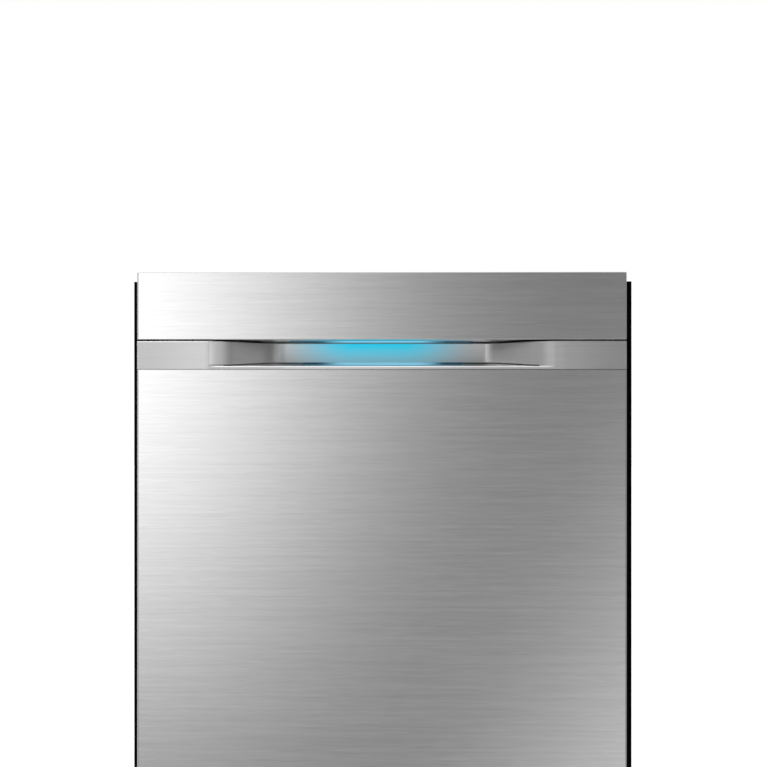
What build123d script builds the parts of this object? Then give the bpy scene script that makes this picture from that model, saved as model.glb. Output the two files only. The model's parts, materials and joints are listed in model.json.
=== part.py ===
from build123d import *
from math import atan2, tan
import os

# Undercounter dishwasher, in millimetres. The origin is on the floor, under the middle of the
# machine. +Z is up, the door faces -Y, and +X is to the right of someone facing the door.

# Overall size
WIDTH = 606.0
DEPTH = 625.0
HEIGHT = 860.0
FRONT_Y = -DEPTH / 2
REAR_Y = DEPTH / 2
CABINET_TOP_Z = 850.0

# Sheet thicknesses, gaps, and how far a cut runs past a face
SHEET = 1.0
WALL = 1.5
GAP = 0.3
BEARING_GAP = 0.05
SCREW_GAP = 0.2
SCREW_R = 2.0
BOARD_THICK = 1.6
PAST = 5.0

# Door front: top strip, recessed handle band and lower panel
DOOR_HALF = 295.0
DOOR_BOTTOM_Z = 112.0
DOOR_BACK_Y = FRONT_Y + 50.0
FASCIA_BOTTOM_Z = 779.0
BAND_TOP_Z = 776.9
BAND_BOTTOM_Z = 743.3
PANEL_TOP_Z = 743.1
SIDE_ROUND = 1.5
EDGE_ROUND = 0.6
SIDE_RETURN = 38.0
SHORT_RETURN = 8.0
PANEL_NOTCH_X = 276.0
PAD_X = 268.0
PAD_Y = (FRONT_Y + 3.0, FRONT_Y + 11.0)
PAD_Z = (150.0, 728.0)

# Handle recess, seen from above: a slanted wall at each end and a flat back
RECESS_DEPTH = 28.0
RECESS_FRONT_X = 193.0
RECESS_BACK_X = 136.0
RECESS_OUTER_BEND = 68.0
RECESS_INNER_BEND = 45.0
BAND_SHEET = 1.2
LIP = 1.6
LIP_TOP_Z = 746.8
FLOOR_RISE = 3.4
SLIT = 1.3
SLIT_FRONT_Y = FRONT_Y + 2.5
CEILING_DROP = 3.6
CEILING_X = 203.0
BAND_TOP_DROP = 3.0

# Light bars of the recess and their circuit strip
CEILING_LENS_X = 110.0
FLOOR_LENS_X = 96.0
LENS_FRONT_Y = FRONT_Y + 12.0
LENS_BACK_Y = FRONT_Y + 27.5
LENS_REAR_Y = FRONT_Y + 30.5
LENS_STEP_Y = LENS_BACK_Y - 1.0
LENS_THICK = 2.6
LENS_GAP = 0.15
STRIP_MARGIN = 3.0
LIGHT_CHIPS = 9
CHIP_SIZE = 5.0
CHIP_HEIGHT = 1.2

# Door hinge line, the arms beside the inner door and their bearing plates
HINGE_Y = -290.0
HINGE_Z = 118.0
HINGE_PIN_R = 5.0
HINGE_EYE_R = 14.0
HINGE_PLATE = 3.0
HINGE_PLATE_REAR_Y = -205.0
ARM_STRAP_Y = (-302.0, -272.0)
ARM_STRAP_TOP_Z = 420.0
ARM_EAR_Y = (-275.0, -265.0)
ARM_EAR_Z = (146.0, 164.0)

# Control strip on the door's top edge
BEZEL_X = 280.0
BEZEL_FRONT_Y = FRONT_Y + SHORT_RETURN + GAP
BEZEL_REAR_Y = DOOR_BACK_Y - GAP
BEZEL_LOW_Z = 848.0
BEZEL_TOP_Z = 858.0
BEZEL_WALL = 2.0
BUTTON_Y = (BEZEL_FRONT_Y + BEZEL_REAR_Y) / 2
BUTTON_XS = {"power": -225.0, "cycle": -170.0, "start": 225.0}
BUTTON_SIZE = (22.0, 12.0)
BUTTON_Z = (850.0, 859.0)
BUTTON_FLANGE_Z = (853.0, 855.5)
BUTTON_FLANGE = 2.0
CONTROL_BOARD_X = (-250.0, -20.0)
CONTROL_BOARD_Z = 845.2
COMPONENTS = 5
COMPONENT_PITCH = 45.0
COMPONENT_SIZE = (18.0, 14.0, 7.2)

# Door latch: hook in the door, strike on the tub
LATCH_PIN_Y = -293.0
LATCH_PIN_Z = 838.0
LATCH_PIN_R = 2.5
LATCH_PIN_X = 9.5
LATCH_HALF_WIDTH = 5.0
LATCH_EAR_X = (6.5, 9.0)
LATCH_EAR_HALF = 6.0
HOOK_TIP_Y = -270.0
HOOK_TIP_Z = 844.0
HOOK_LEVER_Z = (835.5, 840.5)
STRIKE_Z = (841.6, 844.2)
STRIKE_TIP_Y = -282.0
STRIKE_WINDOW_Y = (-278.0, -268.0)

# Inner door
LINER_X = 281.0
LINER_TOP_Z = 847.5
LINER_BOTTOM_Z = 113.0
LINER_DEPTH = 36.0
FIELD_X = 235.0
FIELD_Z = (175.0, 800.0)
FIELD_RISE = 6.0
LATCH_SLOT_X = 14.0
LATCH_SLOT_Z = 839.5
SIDE_SCREWS = [(side * 254, z) for side in (-1, 1) for z in (190, 345, 500, 655, 810)]
LINER_SCREWS = SIDE_SCREWS + [(x, 818) for x in (-160, -80, 80, 160)]
SCREW_HEAD_R = 4.0
SCREW_HEAD = 1.6
SCREW_LENGTH = 12.0
SEAL_X = 254.0
SEAL_Z = (114.0, 126.0)
SEAL_THICK = 2.8

# Detergent and rinse-aid dispenser
DISPENSER_X = (-121.0, 121.0)
DISPENSER_Z = (405.0, 566.0)
DISPENSER_LAP = 5.0
DISPENSER_FRONT_Y = -292.0
DISPENSER_FACE_Y = DOOR_BACK_Y + FIELD_RISE + 2.0
CUP_X = (-98.0, 2.0)
CUP_Z = (488.0, 552.0)
CUP_FRONT_Y = -282.0
LID_LAP = 5.0
LID_THICK = 3.5
LID_RIB = 22.0
LID_RIB_Z = (500.0, 504.0)
RINSE_X = 62.0
RINSE_Z = 505.0
RINSE_FRONT_Y = -276.0
RINSE_PORT_R = 14.3
RINSE_PLUG_R = 13.9
RINSE_CAP_R = 21.0
RINSE_GRIP_X = 16.0

# Wash tub
TUB_X = 272.0
TUB_FRONT_Y = -258.5
TUB_REAR_Y = 283.5
TUB_TOP_Z = 832.0
LEDGE_Z = 145.5
BASIN_X = 248.0
BASIN_FRONT_Y = -248.0
BASIN_REAR_Y = 270.0
BASIN_Z = 132.0
TUB_CORNER_R = 20.0
FLANGE_Z = (116.0, 846.0)
SPRING_SLOT_X = (280.0, 287.0)
SPRING_SLOT_Z = (148.0, 166.0)

# Side trims and door gasket
TRIM_GAP = 1.2
TRIM_SHEET = 2.0
TRIM_SETBACK = 36.0
TRIM_LOW_Z = 104.0
TRIM_REAR_Y = -240.0
GASKET_X = (272.5, 279.5)
GASKET_LOW_Z = 127.5
GASKET_TOP_Z = (832.5, 839.5)
GASKET_CORNERS = (19.0, 26.0)

# Base frame and levelling feet
BASE_Z = 30.0
BASE_TOP_Z = LEDGE_Z - WALL - 0.2
BASE_SHEET = 2.0
RAIL_WEB_X = 290.5
RAIL_FLANGE_X = 252.0
RAIL_FLANGE_REAR_Y = 280.0
BASE_FRONT_Y = -235.0
BASE_REAR_Y = 290.0
BASE_FLANGE = 22.0
FRONT_MEMBER_TOP_Z = 100.0
REAR_MEMBER_TOP_Z = 70.0
FOOT_X = 268.0
FOOT_FRONT_Y = -210.0
FOOT_REAR_Y = 262.0
FOOT_PAD_R = 20.0
FOOT_PAD_HEIGHT = 8.0
FOOT_NUT_R = 11.0
STUD_R = 6.0
STUD_TOP_Z = 85.0
SOCKET_R = 12.0
SOCKET_TOP_Z = 62.0

# Plinth panel
KICK_X = 292.0
KICK_Y = -241.0
KICK_Z = (10.0, 104.0)
KICK_FOLD = 5.0
KICK_SCREW_XS = (-215.0, 215.0)
KICK_SCREW_Z = 72.0
KICK_SCREW_HEAD_R = 5.0
KICK_SCREW_LENGTH = 14.0

# Worktop tabs
TAB_X = (180.0, 220.0)
TAB_HOLE_X = 200.0
TAB_HOLE_YS = (-250.0, -234.0)
TAB_HOLE_R = 2.25
TAB_LENGTH = 32.0
TAB_LOW_Z = 836.0

# Door springs
SPRING_X = 279.2
SPRING_Z = 156.0
SPRING_R = 4.2
SPRING_WIRE_R = 1.0
SPRING_Y = (-222.0, -90.0)
SPRING_END_Y = (-262.0, -50.0)
SPRING_TURNS = 24

# Sound blanket
BLANKET = 7.5
BLANKET_FRONT_Y = -215.0
BLANKET_LOW_Z = 175.0

# Sump, filters and heater
ARM_X = 0.0
ARM_Y = 10.0
SUMP_HALF = 97.0
SUMP_WALL = 3.0
SUMP_BOTTOM_Z = 62.0
POST_R = 18.0
FILTER_RIM_R = 108.0
FILTER_RIM = 3.0
FILTER_X = 60.0
FILTER_HOLE_R = 36.0
FILTER_CUP_R = 33.0
FILTER_CUP_WALL = 2.0
FILTER_CUP_Z = (74.0, 142.0)
FILTER_COLLAR_R = 35.5
FILTER_COLLAR_Z = 136.0
FILTER_FLOOR = 3.0
FILTER_GRIP_Z = (80.0, 156.0)
HEATER_LEAD_X = 36.0
HEATER_X = 178.0
HEATER_Y = (-165.0, 205.0)
HEATER_R = 4.0
HEATER_Z = 144.0
HEATER_LEAD_Z = 112.0
HEATER_BENDS = [12, 60, 60, 60, 60, 12]

# Spray arms and their water duct
ARM_PIN_R = 8.0
ARM_THICK = 12.0
ARM_HUB_R = 26.0
ARM_JETS = 6
JET_SIZE = (9.0, 2.4, 6.0)
LOWER_ARM_Z = 170.0
MIDDLE_ARM_Z = 486.0
TOP_ARM_Z = 798.0
DUCT_X = 20.0
DUCT_FRONT_Y = 262.0
DUCT_FLOOR_Y = (119.0, 269.5)
DUCT_FLOOR_HEIGHT = 18.0
DUCT_TOP_Z = (813.0, 829.0)
DUCT_OUTLET_R = 9.0
DUCT_OUTLET = 14.0

# Pumps, on one line through the sump
PUMP_Z = 85.0
PUMP_X = (112.0, 152.0)
PUMP_R = 43.0
VOLUTE_X = (116.0, 148.0)
VOLUTE_R = 38.0
MOTOR_END_X = 222.0
MOTOR_R = 38.0
PUMP_INLET_R = 11.0
PUMP_FOOT_X = (165.0, 215.0)
PUMP_FOOT_Z = (40.0, 60.0)
PUMP_FOOT_HALF = 30.0
SHAFT_R = 5.0
SHAFT_END_X = 195.0
IMPELLER_R = 34.0
IMPELLER_X = (140.0, 144.0)
IMPELLER_EYE_X = 124.0
IMPELLER_BLADES = 6
IMPELLER_BLADE = (16.0, 2.5, 26.0)
DRAIN_PUMP_X = (-112.0, -136.0, -200.0)
DRAIN_PUMP_RS = (30.0, 25.0)

# Drain hose
HOSE_R = 9.0
HOSE_X = -124.0
HOSE_DOWN_X = -214.0
HOSE_Y = REAR_Y - HOSE_R
HOSE_TOP_Z = 660.0
HOSE_START_Y = 58.0
HOSE_END_Z = 140.0
HOSE_BENDS = [60, 44, 44]
HOSE_STUB_R = 8.0
HOSE_STUB = 30.0
HOSE_COLLAR = 6.0

# Water inlet valve and wiring box
INLET_X = -225.0
INLET_Y = -170.0
INLET_Z = 70.0
INLET_R = 13.2
INLET_BORE_R = 8.0
INLET_BODY_Z = (50.0, 92.0)
INLET_COIL_Z = 118.0
JUNCTION_X = 238.0
JUNCTION_HALF = 34.0
JUNCTION_Y = (-186.0, -126.0)
JUNCTION_Z = (BASE_Z + BASE_SHEET, 92.0)
JUNCTION_SHEET = 1.2
CABLE_HOLE_R = 11.1
CABLE_Z = 62.0
PASSAGE_LOW_Z = 44.0
PASSAGES = ((INLET_X, 24.0), (JUNCTION_X, 16.0))

# Overfill float
FLOAT_X = 192.0
FLOAT_Y = -205.0
FLOAT_R = 22.0
FLOAT_TOP_Z = 158.0
FLOAT_STEM_R = 4.0
FLOAT_STEM_LOW_Z = 108.0

# Racks
WIRE = 4.0
RACK_FRONT_Y = -236.0
RACK_REAR_Y = 235.0
RACK_COLUMNS = 9
RACK_ROWS = 8
LOWER_FLOOR_Z = 193.0
LOWER_RIM_Z = 345.0
LOWER_RACK_X = 246.0
UPPER_FLOOR_Z = 520.0
UPPER_RIM_Z = 640.0
UPPER_RACK_X = 240.0
THIRD_FLOOR_Z = 745.0
THIRD_RIM_Z = 785.0
THIRD_RACK_X = 236.0

# Tines
TINE_WIRE = 3.2
TINE_RAIL_R = 2.0
LOWER_TINE_Z = LOWER_FLOOR_Z + WIRE
LOWER_TINE_HEIGHT = 82.0
LOWER_TINE_XS = (-200.0, -125.0, -50.0)
LOWER_TINE_Y = 190.0
LOWER_TINES = 11
FOLDING_TINE_X = 45.0
UPPER_TINE_HEIGHT = 55.0
UPPER_TINE_XS = (-170.0, -85.0, 0.0, 85.0)
UPPER_TINE_Y = 195.0
UPPER_TINES = 10

# Rack wheels and rails
WHEEL_R = 17.0
WHEEL_X = (257.5, 266.5)
WHEEL_Z = LEDGE_Z + GAP + WHEEL_R
WHEEL_YS = {"front": -135.0, "rear": 150.0}
WHEEL_RECESS_R = 13.0
WHEEL_HUB_R = 7.0
AXLE_R = 4.0
AXLE_END_X = 269.0
HOLDER_X = WHEEL_X[0] - 1.5
HOLDER_HALF = 12.0
HOLDER_TOP_Z = 220.0
RAIL_Y = (-246.0, 236.0)
RAIL_Z = (592.0, 622.0)
RAIL_SHEET = 2.0
RAIL_WEB = 3.5
RAIL_LIP = 9.5
SLIDE_Y = (-240.0, 234.0)
SLIDE_WEB = 6.5
SLIDE_LIP = 12.0
TRAY_RAIL_Z = (752.0, 772.0)
TRAY_RAIL_WEB = 3.0
TRAY_RAIL_LIP = 14.0
RUNNER_Y = 225.0
RUNNER_Z = (603.0, 611.0)
RUNNER_X = 259.0
TRAY_RUNNER_TOP_Z = 760.0

# Cutlery basket
BASKET_X = (140.0, 232.0)
BASKET_Y = (-185.0, 185.0)
BASKET_LOW_Z = LOWER_FLOOR_Z + WIRE + GAP
BASKET_TOP_Z = 322.0
BASKET_WALL = 2.2
BASKET_DIVIDER = 2.0
BASKET_DIVIDER_TOP_Z = BASKET_TOP_Z - 12.0
BASKET_CELLS = 5
BASKET_SLOTS = 10
BASKET_SLOT_MARGIN = 5.0
BASKET_SLOT_ZS = ((207.3, 245.3), (257.3, 308.0))
BASKET_HANDLE_X = 3.0
BASKET_HANDLE_Y = 45.0
BASKET_HANDLE_Z = (350.0, 358.0)
BASKET_WALL_X = 30.0

# Upper rack's water duct and cup shelf
RACK_DUCT_X = 11.0
RACK_DUCT_Z = (UPPER_FLOOR_Z - 18.0, UPPER_FLOOR_Z - GAP)
SHELF_X = 232.0
SHELF_Z = 622.0
SHELF_WIDTH = 96.0
SHELF_LENGTH = 190.0
SHELF_Y = -115.0
SHELF_WIRE = 3.2
SHELF_PIVOT_R = 3.0


def block(x, y, z):
    """Box given by its low and high limits along X, Y and Z."""
    sizes = [high - low for low, high in (x, y, z)]
    centre = [(high + low) / 2 for low, high in (x, y, z)]
    return Pos(*centre) * Box(*sizes)


def both(half):
    """Limits from minus to plus a half size."""
    return (-half, half)


def around(centre, half):
    """Limits from a centre and a half size."""
    return (centre - half, centre + half)


def rod(start, end, radius):
    """Round bar between two points."""
    line = Vector(*end) - Vector(*start)
    plane = Plane(origin=start, z_dir=line.normalized())
    return extrude(plane * Circle(radius), line.length)


def upright(x, y, z, radius):
    """Round bar along Z."""
    return rod((x, y, z[0]), (x, y, z[1]), radius)


def lengthwise(x, z, y, radius):
    """Round bar along Y."""
    return rod((x, y[0], z), (x, y[1], z), radius)


def crosswise(y, z, x, radius):
    """Round bar along X."""
    return rod((x[0], y, z), (x[1], y, z), radius)


def octagon(z, half):
    """Eight-sided prism over the sump's centre, with flats that face along X and Y."""
    outline = Rot(0, 0, 22.5) * RegularPolygon(half, 8, major_radius=False)
    return Pos(ARM_X, ARM_Y, z[0]) * extrude(outline, z[1] - z[0])


def prism_x(points, half_width):
    """Outline in the YZ plane, drawn out to both sides along X."""
    outline = make_face(Polyline(*[(-half_width, y, z) for y, z in points], close=True))
    return extrude(outline, 2 * half_width, dir=(1, 0, 0))


def pair(shape):
    """A right-hand piece and its mirror image on the left."""
    return [shape, mirror(shape, about=Plane.YZ)]


def sweep_round(path, radius):
    """Round bar that follows a path."""
    start = Plane(origin=path @ 0, z_dir=path % 0)
    return sweep(start * Circle(radius), path=path)


def edges_along(shape, direction):
    """A shape's edges that run along an axis."""
    return shape.edges().filter_by(direction)


def top_edges(shape):
    """The highest edges of a shape."""
    return shape.edges().group_by(Axis.Z)[-1]


def save(name, *pieces):
    """Write one sub-part, which may be several separate solids."""
    solids = [solid for piece in pieces for solid in piece.solids()]
    shape = solids[0] if len(solids) == 1 else Compound(children=solids)
    export_step(shape, f"parts/{name}.step")


def grid(width, height, columns, rows, thick=WIRE):
    """Flat grid of welded wires, centred on the origin in the XY plane."""
    cell_x = (width - WIRE) / columns
    cell_y = (height - WIRE) / rows
    window = Rectangle(cell_x - WIRE, cell_y - WIRE)
    windows = [spot * window for spot in GridLocations(cell_x, cell_y, columns, rows)]
    return Pos(0, 0, -thick / 2) * extrude(Rectangle(width, height) - windows, thick)


# Door


def folded_front(z_low, z_high, top_return, bottom_return):
    """Stainless door skin: a flat front with rounded edges and edges folded back."""
    outside = block(both(DOOR_HALF), (FRONT_Y, FRONT_Y + SIDE_RETURN), (z_low, z_high))
    outside = fillet(outside.edges().group_by(Axis.Y)[0].filter_by(Axis.Z), SIDE_ROUND)
    outside = fillet(outside.edges().group_by(Axis.Y)[0].filter_by(Axis.X), EDGE_ROUND)
    inside_x = both(DOOR_HALF - SHEET)
    behind_y = FRONT_Y + SIDE_RETURN + 1
    skin = outside - block(inside_x, (FRONT_Y + SHEET, behind_y), (z_low + SHEET, z_high - SHEET))
    fold = 1.5 * SHEET
    skin -= block(inside_x, (FRONT_Y + top_return, behind_y), (z_high - fold, z_high + 1))
    return skin - block(inside_x, (FRONT_Y + bottom_return, behind_y), (z_low - 1, z_low + fold))


def door_panel():
    """Large lower skin. Its bottom fold stops short of the hinges at both sides."""
    skin = folded_front(DOOR_BOTTOM_Z, PANEL_TOP_Z, SHORT_RETURN, SIDE_RETURN - 2)
    notch_x = (PANEL_NOTCH_X, DOOR_HALF - SHEET)
    notch_z = (DOOR_BOTTOM_Z - 1, DOOR_BOTTOM_Z + 2)
    for cut in pair(block(notch_x, (FRONT_Y + SHEET, FRONT_Y + SIDE_RETURN), notch_z)):
        skin -= cut
    return skin


def ceiling_z(y):
    """Height of the recess ceiling's underside at a distance behind the door front."""
    return FASCIA_BOTTOM_Z - CEILING_DROP * (y - FRONT_Y) / RECESS_DEPTH


def recess_floor_z(y):
    """Height of the recess floor's upper face at a distance behind the door front."""
    return LIP_TOP_Z + FLOOR_RISE * (y - FRONT_Y) / RECESS_DEPTH


def sloped_slab(height, y_low, y_high, thick, half_width):
    """Slab along X whose face follows a height function. Negative thickness hangs below it."""
    points = [(y_low, height(y_low)), (y_high, height(y_high))]
    points += [(y_high, height(y_high) + thick), (y_low, height(y_low) + thick)]
    return prism_x(points, half_width)


def lens_slot(z, half_x):
    """Cutter for a light bar's slot."""
    slot_y = (LENS_FRONT_Y - GAP, LENS_BACK_Y + GAP)
    return block(both(half_x + GAP), slot_y, around(z, PAST))


def door_fascia():
    """Top strip, with the sloping ceiling of the handle recess folded in below it."""
    skin = folded_front(FASCIA_BOTTOM_Z, HEIGHT, SHORT_RETURN, SHORT_RETURN)
    ceiling_y = (FRONT_Y + EDGE_ROUND, FRONT_Y + RECESS_DEPTH - GAP)
    ceiling = sloped_slab(ceiling_z, *ceiling_y, SHEET, CEILING_X)
    return skin + ceiling - lens_slot(FASCIA_BOTTOM_Z, CEILING_LENS_X)


def band_line(offset):
    """The handle band's bent line seen from above, moved back by an offset."""
    slope = atan2(RECESS_DEPTH, RECESS_FRONT_X - RECESS_BACK_X)
    shift = offset * tan(slope / 2)
    front_y = FRONT_Y + offset
    back_y = front_y + RECESS_DEPTH
    front_x = RECESS_FRONT_X + shift
    back_x = RECESS_BACK_X + shift
    points = [(-DOOR_HALF, front_y), (-front_x, front_y), (-back_x, back_y)]
    points += [(back_x, back_y), (front_x, front_y), (DOOR_HALF, front_y)]
    outer = RECESS_OUTER_BEND - offset
    inner = RECESS_INNER_BEND + offset
    return FilletPolyline(*points, radius=[outer, inner, inner, outer])


def band_wall():
    """Upright bent wall. Its top edge drops towards the rear, and a slit runs along its foot."""
    front = band_line(0)
    rear = band_line(BAND_SHEET)
    ends = [Line(front @ 0, rear @ 0).edge(), Line(front @ 1, rear @ 1).edge()]
    plan = make_face(front.edges() + rear.edges() + ends)
    low_z = LIP_TOP_Z - SHEET
    wall = extrude(Pos(0, 0, low_z) * plan, BAND_TOP_Z - low_z)
    back_y = FRONT_Y + RECESS_DEPTH + 2 * PAST
    back_z = BAND_TOP_Z - BAND_TOP_DROP * (back_y - FRONT_Y) / RECESS_DEPTH
    over_z = BAND_TOP_Z + PAST
    above = [(FRONT_Y, BAND_TOP_Z), (back_y, back_z), (back_y, over_z), (FRONT_Y, over_z)]
    wall -= prism_x(above, DOOR_HALF + 1)
    return wall - sloped_slab(recess_floor_z, SLIT_FRONT_Y, back_y, SLIT, DOOR_HALF)


def recess_floor():
    """Rising floor of the recess, with the lower light bar's slot."""
    front_y = FRONT_Y + LIP / 2
    mid = band_line(BAND_SHEET / 2)
    close = Line(mid @ 0, mid @ 1)
    plan = make_face(mid.edges() + [close.edge()])
    margin = 2.0
    floor = extrude(Pos(0, 0, LIP_TOP_Z - margin) * plan, FLOOR_RISE + 2 * margin)
    floor &= sloped_slab(recess_floor_z, front_y, FRONT_Y + RECESS_DEPTH + PAST, -SHEET, DOOR_HALF)
    return floor - lens_slot(LIP_TOP_Z, FLOOR_LENS_X)


def handle_band():
    """Bent steel band: flush ends, slanted recess walls, rounded lip and rising recess floor."""
    crest_z = LIP_TOP_Z - LIP / 2
    lip = block(both(DOOR_HALF), (FRONT_Y, FRONT_Y + LIP), (BAND_BOTTOM_Z, crest_z))
    lip += crosswise(FRONT_Y + LIP / 2, crest_z, both(DOOR_HALF), LIP / 2)
    fold_z = (BAND_BOTTOM_Z, BAND_BOTTOM_Z + SHEET)
    fold = block(both(DOOR_HALF - SHEET), (FRONT_Y, FRONT_Y + SHORT_RETURN), fold_z)
    band = band_wall() + lip + recess_floor() + fold
    end_x = (DOOR_HALF - SHEET, DOOR_HALF)
    end = block(end_x, (FRONT_Y, FRONT_Y + SIDE_RETURN), (BAND_BOTTOM_Z, BAND_TOP_Z))
    for side in pair(end):
        band += side
    return band


def handle_light_lens():
    """Light bars in the recess's ceiling and floor. The lower one's tongue fills the slit."""
    upper = sloped_slab(ceiling_z, LENS_FRONT_Y, LENS_BACK_Y, LENS_THICK, CEILING_LENS_X)
    steps = [(LENS_FRONT_Y, -LENS_THICK), (LENS_FRONT_Y, 0), (LENS_STEP_Y, 0)]
    steps += [(LENS_STEP_Y, SLIT - LENS_GAP), (LENS_REAR_Y, SLIT - LENS_GAP)]
    steps += [(LENS_REAR_Y, LENS_GAP), (LENS_BACK_Y, LENS_GAP), (LENS_BACK_Y, -LENS_THICK)]
    outline = [(y, recess_floor_z(y) + rise) for y, rise in steps]
    return [upper, prism_x(outline, FLOOR_LENS_X)]


def light_board():
    """Circuit strip with a row of light chips over the upper light bar."""
    board_z = ceiling_z(LENS_FRONT_Y) + LENS_THICK + STRIP_MARGIN
    board_y = (LENS_FRONT_Y - STRIP_MARGIN, LENS_BACK_Y + STRIP_MARGIN)
    parts = block(both(FLOOR_LENS_X), board_y, (board_z, board_z + BOARD_THICK))
    chip_y = around((LENS_FRONT_Y + LENS_BACK_Y) / 2, CHIP_SIZE / 2)
    row_x = 0.9 * FLOOR_LENS_X
    for index in range(LIGHT_CHIPS):
        x = row_x * (2 * index / (LIGHT_CHIPS - 1) - 1)
        parts += block(around(x, CHIP_SIZE / 2), chip_y, (board_z - CHIP_HEIGHT, board_z))
    return parts


def control_bezel():
    """Top edge of the door: a shallow hood with button holes and two latch ears."""
    hood = block(both(BEZEL_X), (BEZEL_FRONT_Y, BEZEL_REAR_Y), (BEZEL_LOW_Z, BEZEL_TOP_Z))
    hood = fillet(top_edges(hood), 1.0)
    inside_top_z = BEZEL_TOP_Z - BEZEL_WALL
    inside_y = (BEZEL_FRONT_Y + BEZEL_WALL, BEZEL_REAR_Y - BEZEL_WALL)
    hood -= block(both(BEZEL_X - BEZEL_WALL), inside_y, (BEZEL_LOW_Z - 1, inside_top_z))
    hole_x, hole_y = (size / 2 + GAP for size in BUTTON_SIZE)
    for x in BUTTON_XS.values():
        hood -= block(around(x, hole_x), around(BUTTON_Y, hole_y), (BEZEL_LOW_Z, HEIGHT))
    ear_z = (LATCH_PIN_Z - LATCH_EAR_HALF, inside_top_z)
    ear = block(LATCH_EAR_X, around(LATCH_PIN_Y, LATCH_EAR_HALF), ear_z)
    ear -= crosswise(LATCH_PIN_Y, LATCH_PIN_Z, (0, LATCH_PIN_X + PAST), LATCH_PIN_R + BEARING_GAP)
    for side in pair(ear):
        hood += side
    return hood


def button(x):
    """Push button cap with the flange that keeps it under the bezel."""
    half_x, half_y = (size / 2 for size in BUTTON_SIZE)
    cap = block(around(x, half_x), around(BUTTON_Y, half_y), BUTTON_Z)
    cap = fillet(top_edges(cap), 0.8)
    flange_x = around(x, half_x + BUTTON_FLANGE)
    return cap + block(flange_x, around(BUTTON_Y, half_y + BUTTON_FLANGE), BUTTON_FLANGE_Z)


def control_board():
    """Circuit board under the bezel, with a row of components hanging from it."""
    length, width, height = COMPONENT_SIZE
    board_y = around(BUTTON_Y, 15)
    board = block(CONTROL_BOARD_X, board_y, (CONTROL_BOARD_Z, CONTROL_BOARD_Z + BOARD_THICK))
    for index in range(COMPONENTS):
        x = CONTROL_BOARD_X[0] + width + COMPONENT_PITCH * index
        component_z = (CONTROL_BOARD_Z - height, CONTROL_BOARD_Z)
        board += block((x, x + length), around(BUTTON_Y - 1, width / 2), component_z)
    return board


def door_liner():
    """Inner stainless door: a pan with a raised field, a dispenser hole and a latch slot."""
    back_y = DOOR_BACK_Y
    pan = block(both(LINER_X), (back_y - LINER_DEPTH, back_y), (LINER_BOTTOM_Z, LINER_TOP_Z))
    inside_y = (back_y - LINER_DEPTH - 1, back_y - SHEET)
    pan -= block(both(LINER_X - SHEET), inside_y, (LINER_BOTTOM_Z - 1, LINER_TOP_Z + 1))
    field = block(both(FIELD_X), (back_y - SHEET, back_y + FIELD_RISE), FIELD_Z)
    pan += fillet(field.edges().group_by(Axis.Y)[-1], 3.0)
    low_z, high_z = FIELD_Z
    hollow_y = (back_y - 2 * SHEET, back_y + FIELD_RISE - SHEET)
    pan -= block(both(FIELD_X - SHEET), hollow_y, (low_z + SHEET, high_z - SHEET))
    x0, x1 = DISPENSER_X
    z0, z1 = DISPENSER_Z
    lap = DISPENSER_LAP - 1
    cut_y = (back_y - PAST, back_y + 2 * PAST)
    pan -= block((x0 + lap, x1 - lap), cut_y, (z0 + lap, z1 - lap))
    pan -= block(both(LATCH_SLOT_X), around(back_y, PAST), (LATCH_SLOT_Z, LINER_TOP_Z + 1))
    for x, z in LINER_SCREWS:
        pan -= lengthwise(x, z, around(back_y, PAST), SCREW_R + SCREW_GAP)
    return pan


def door_screws():
    """Pan-head screws that hold the inner door to the outer one."""
    screws = []
    for x, z in LINER_SCREWS:
        head = lengthwise(x, z, (DOOR_BACK_Y, DOOR_BACK_Y + SCREW_HEAD), SCREW_HEAD_R)
        shank = lengthwise(x, z, (DOOR_BACK_Y - SCREW_LENGTH, DOOR_BACK_Y + 1), SCREW_R)
        screws.append(head + shank)
    return screws


def door_insulation():
    """Sound pad behind the lower skin."""
    return block(both(PAD_X), PAD_Y, PAD_Z)


def door_bottom_seal():
    """Rubber strip along the inner door's bottom edge, between the wheel tracks."""
    strip = block(both(SEAL_X), (DOOR_BACK_Y, DOOR_BACK_Y + SEAL_THICK), SEAL_Z)
    return fillet(strip.edges().group_by(Axis.Y)[-1].filter_by(Axis.X), 1.2)


def door_arm():
    """Steel arm beside the inner door, with the hinge hole and the spring's ear."""
    x = (LINER_X, LINER_X + HINGE_PLATE)
    arm = block(x, ARM_STRAP_Y, (HINGE_Z, ARM_STRAP_TOP_Z))
    arm += block(x, ARM_EAR_Y, ARM_EAR_Z)
    arm += crosswise(HINGE_Y, HINGE_Z, x, HINGE_EYE_R)
    wide = (LINER_X - PAST, LINER_X + 2 * PAST)
    arm -= crosswise(HINGE_Y, HINGE_Z, wide, HINGE_PIN_R + BEARING_GAP)
    corner_y = (ARM_STRAP_Y[0] - PAST, HINGE_Y - 8)
    return arm - block(wide, corner_y, (HINGE_Z, HINGE_Z + 8))


def dispenser_body():
    """Detergent cup and rinse-aid tank in one housing, set into the inner door."""
    x0, x1 = DISPENSER_X
    z0, z1 = DISPENSER_Z
    flange_y = DOOR_BACK_Y + FIELD_RISE
    flange = block(DISPENSER_X, (flange_y, DISPENSER_FACE_Y), DISPENSER_Z)
    flange = fillet(edges_along(flange, Axis.Y), 8.0)
    lap = DISPENSER_LAP
    body = flange + block((x0 + lap, x1 - lap), (DISPENSER_FRONT_Y, flange_y), (z0 + lap, z1 - lap))
    body -= block(CUP_X, (CUP_FRONT_Y, DISPENSER_FACE_Y + 1), CUP_Z)
    return body - lengthwise(RINSE_X, RINSE_Z, (RINSE_FRONT_Y, DISPENSER_FACE_Y + 1), RINSE_PORT_R)


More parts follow.
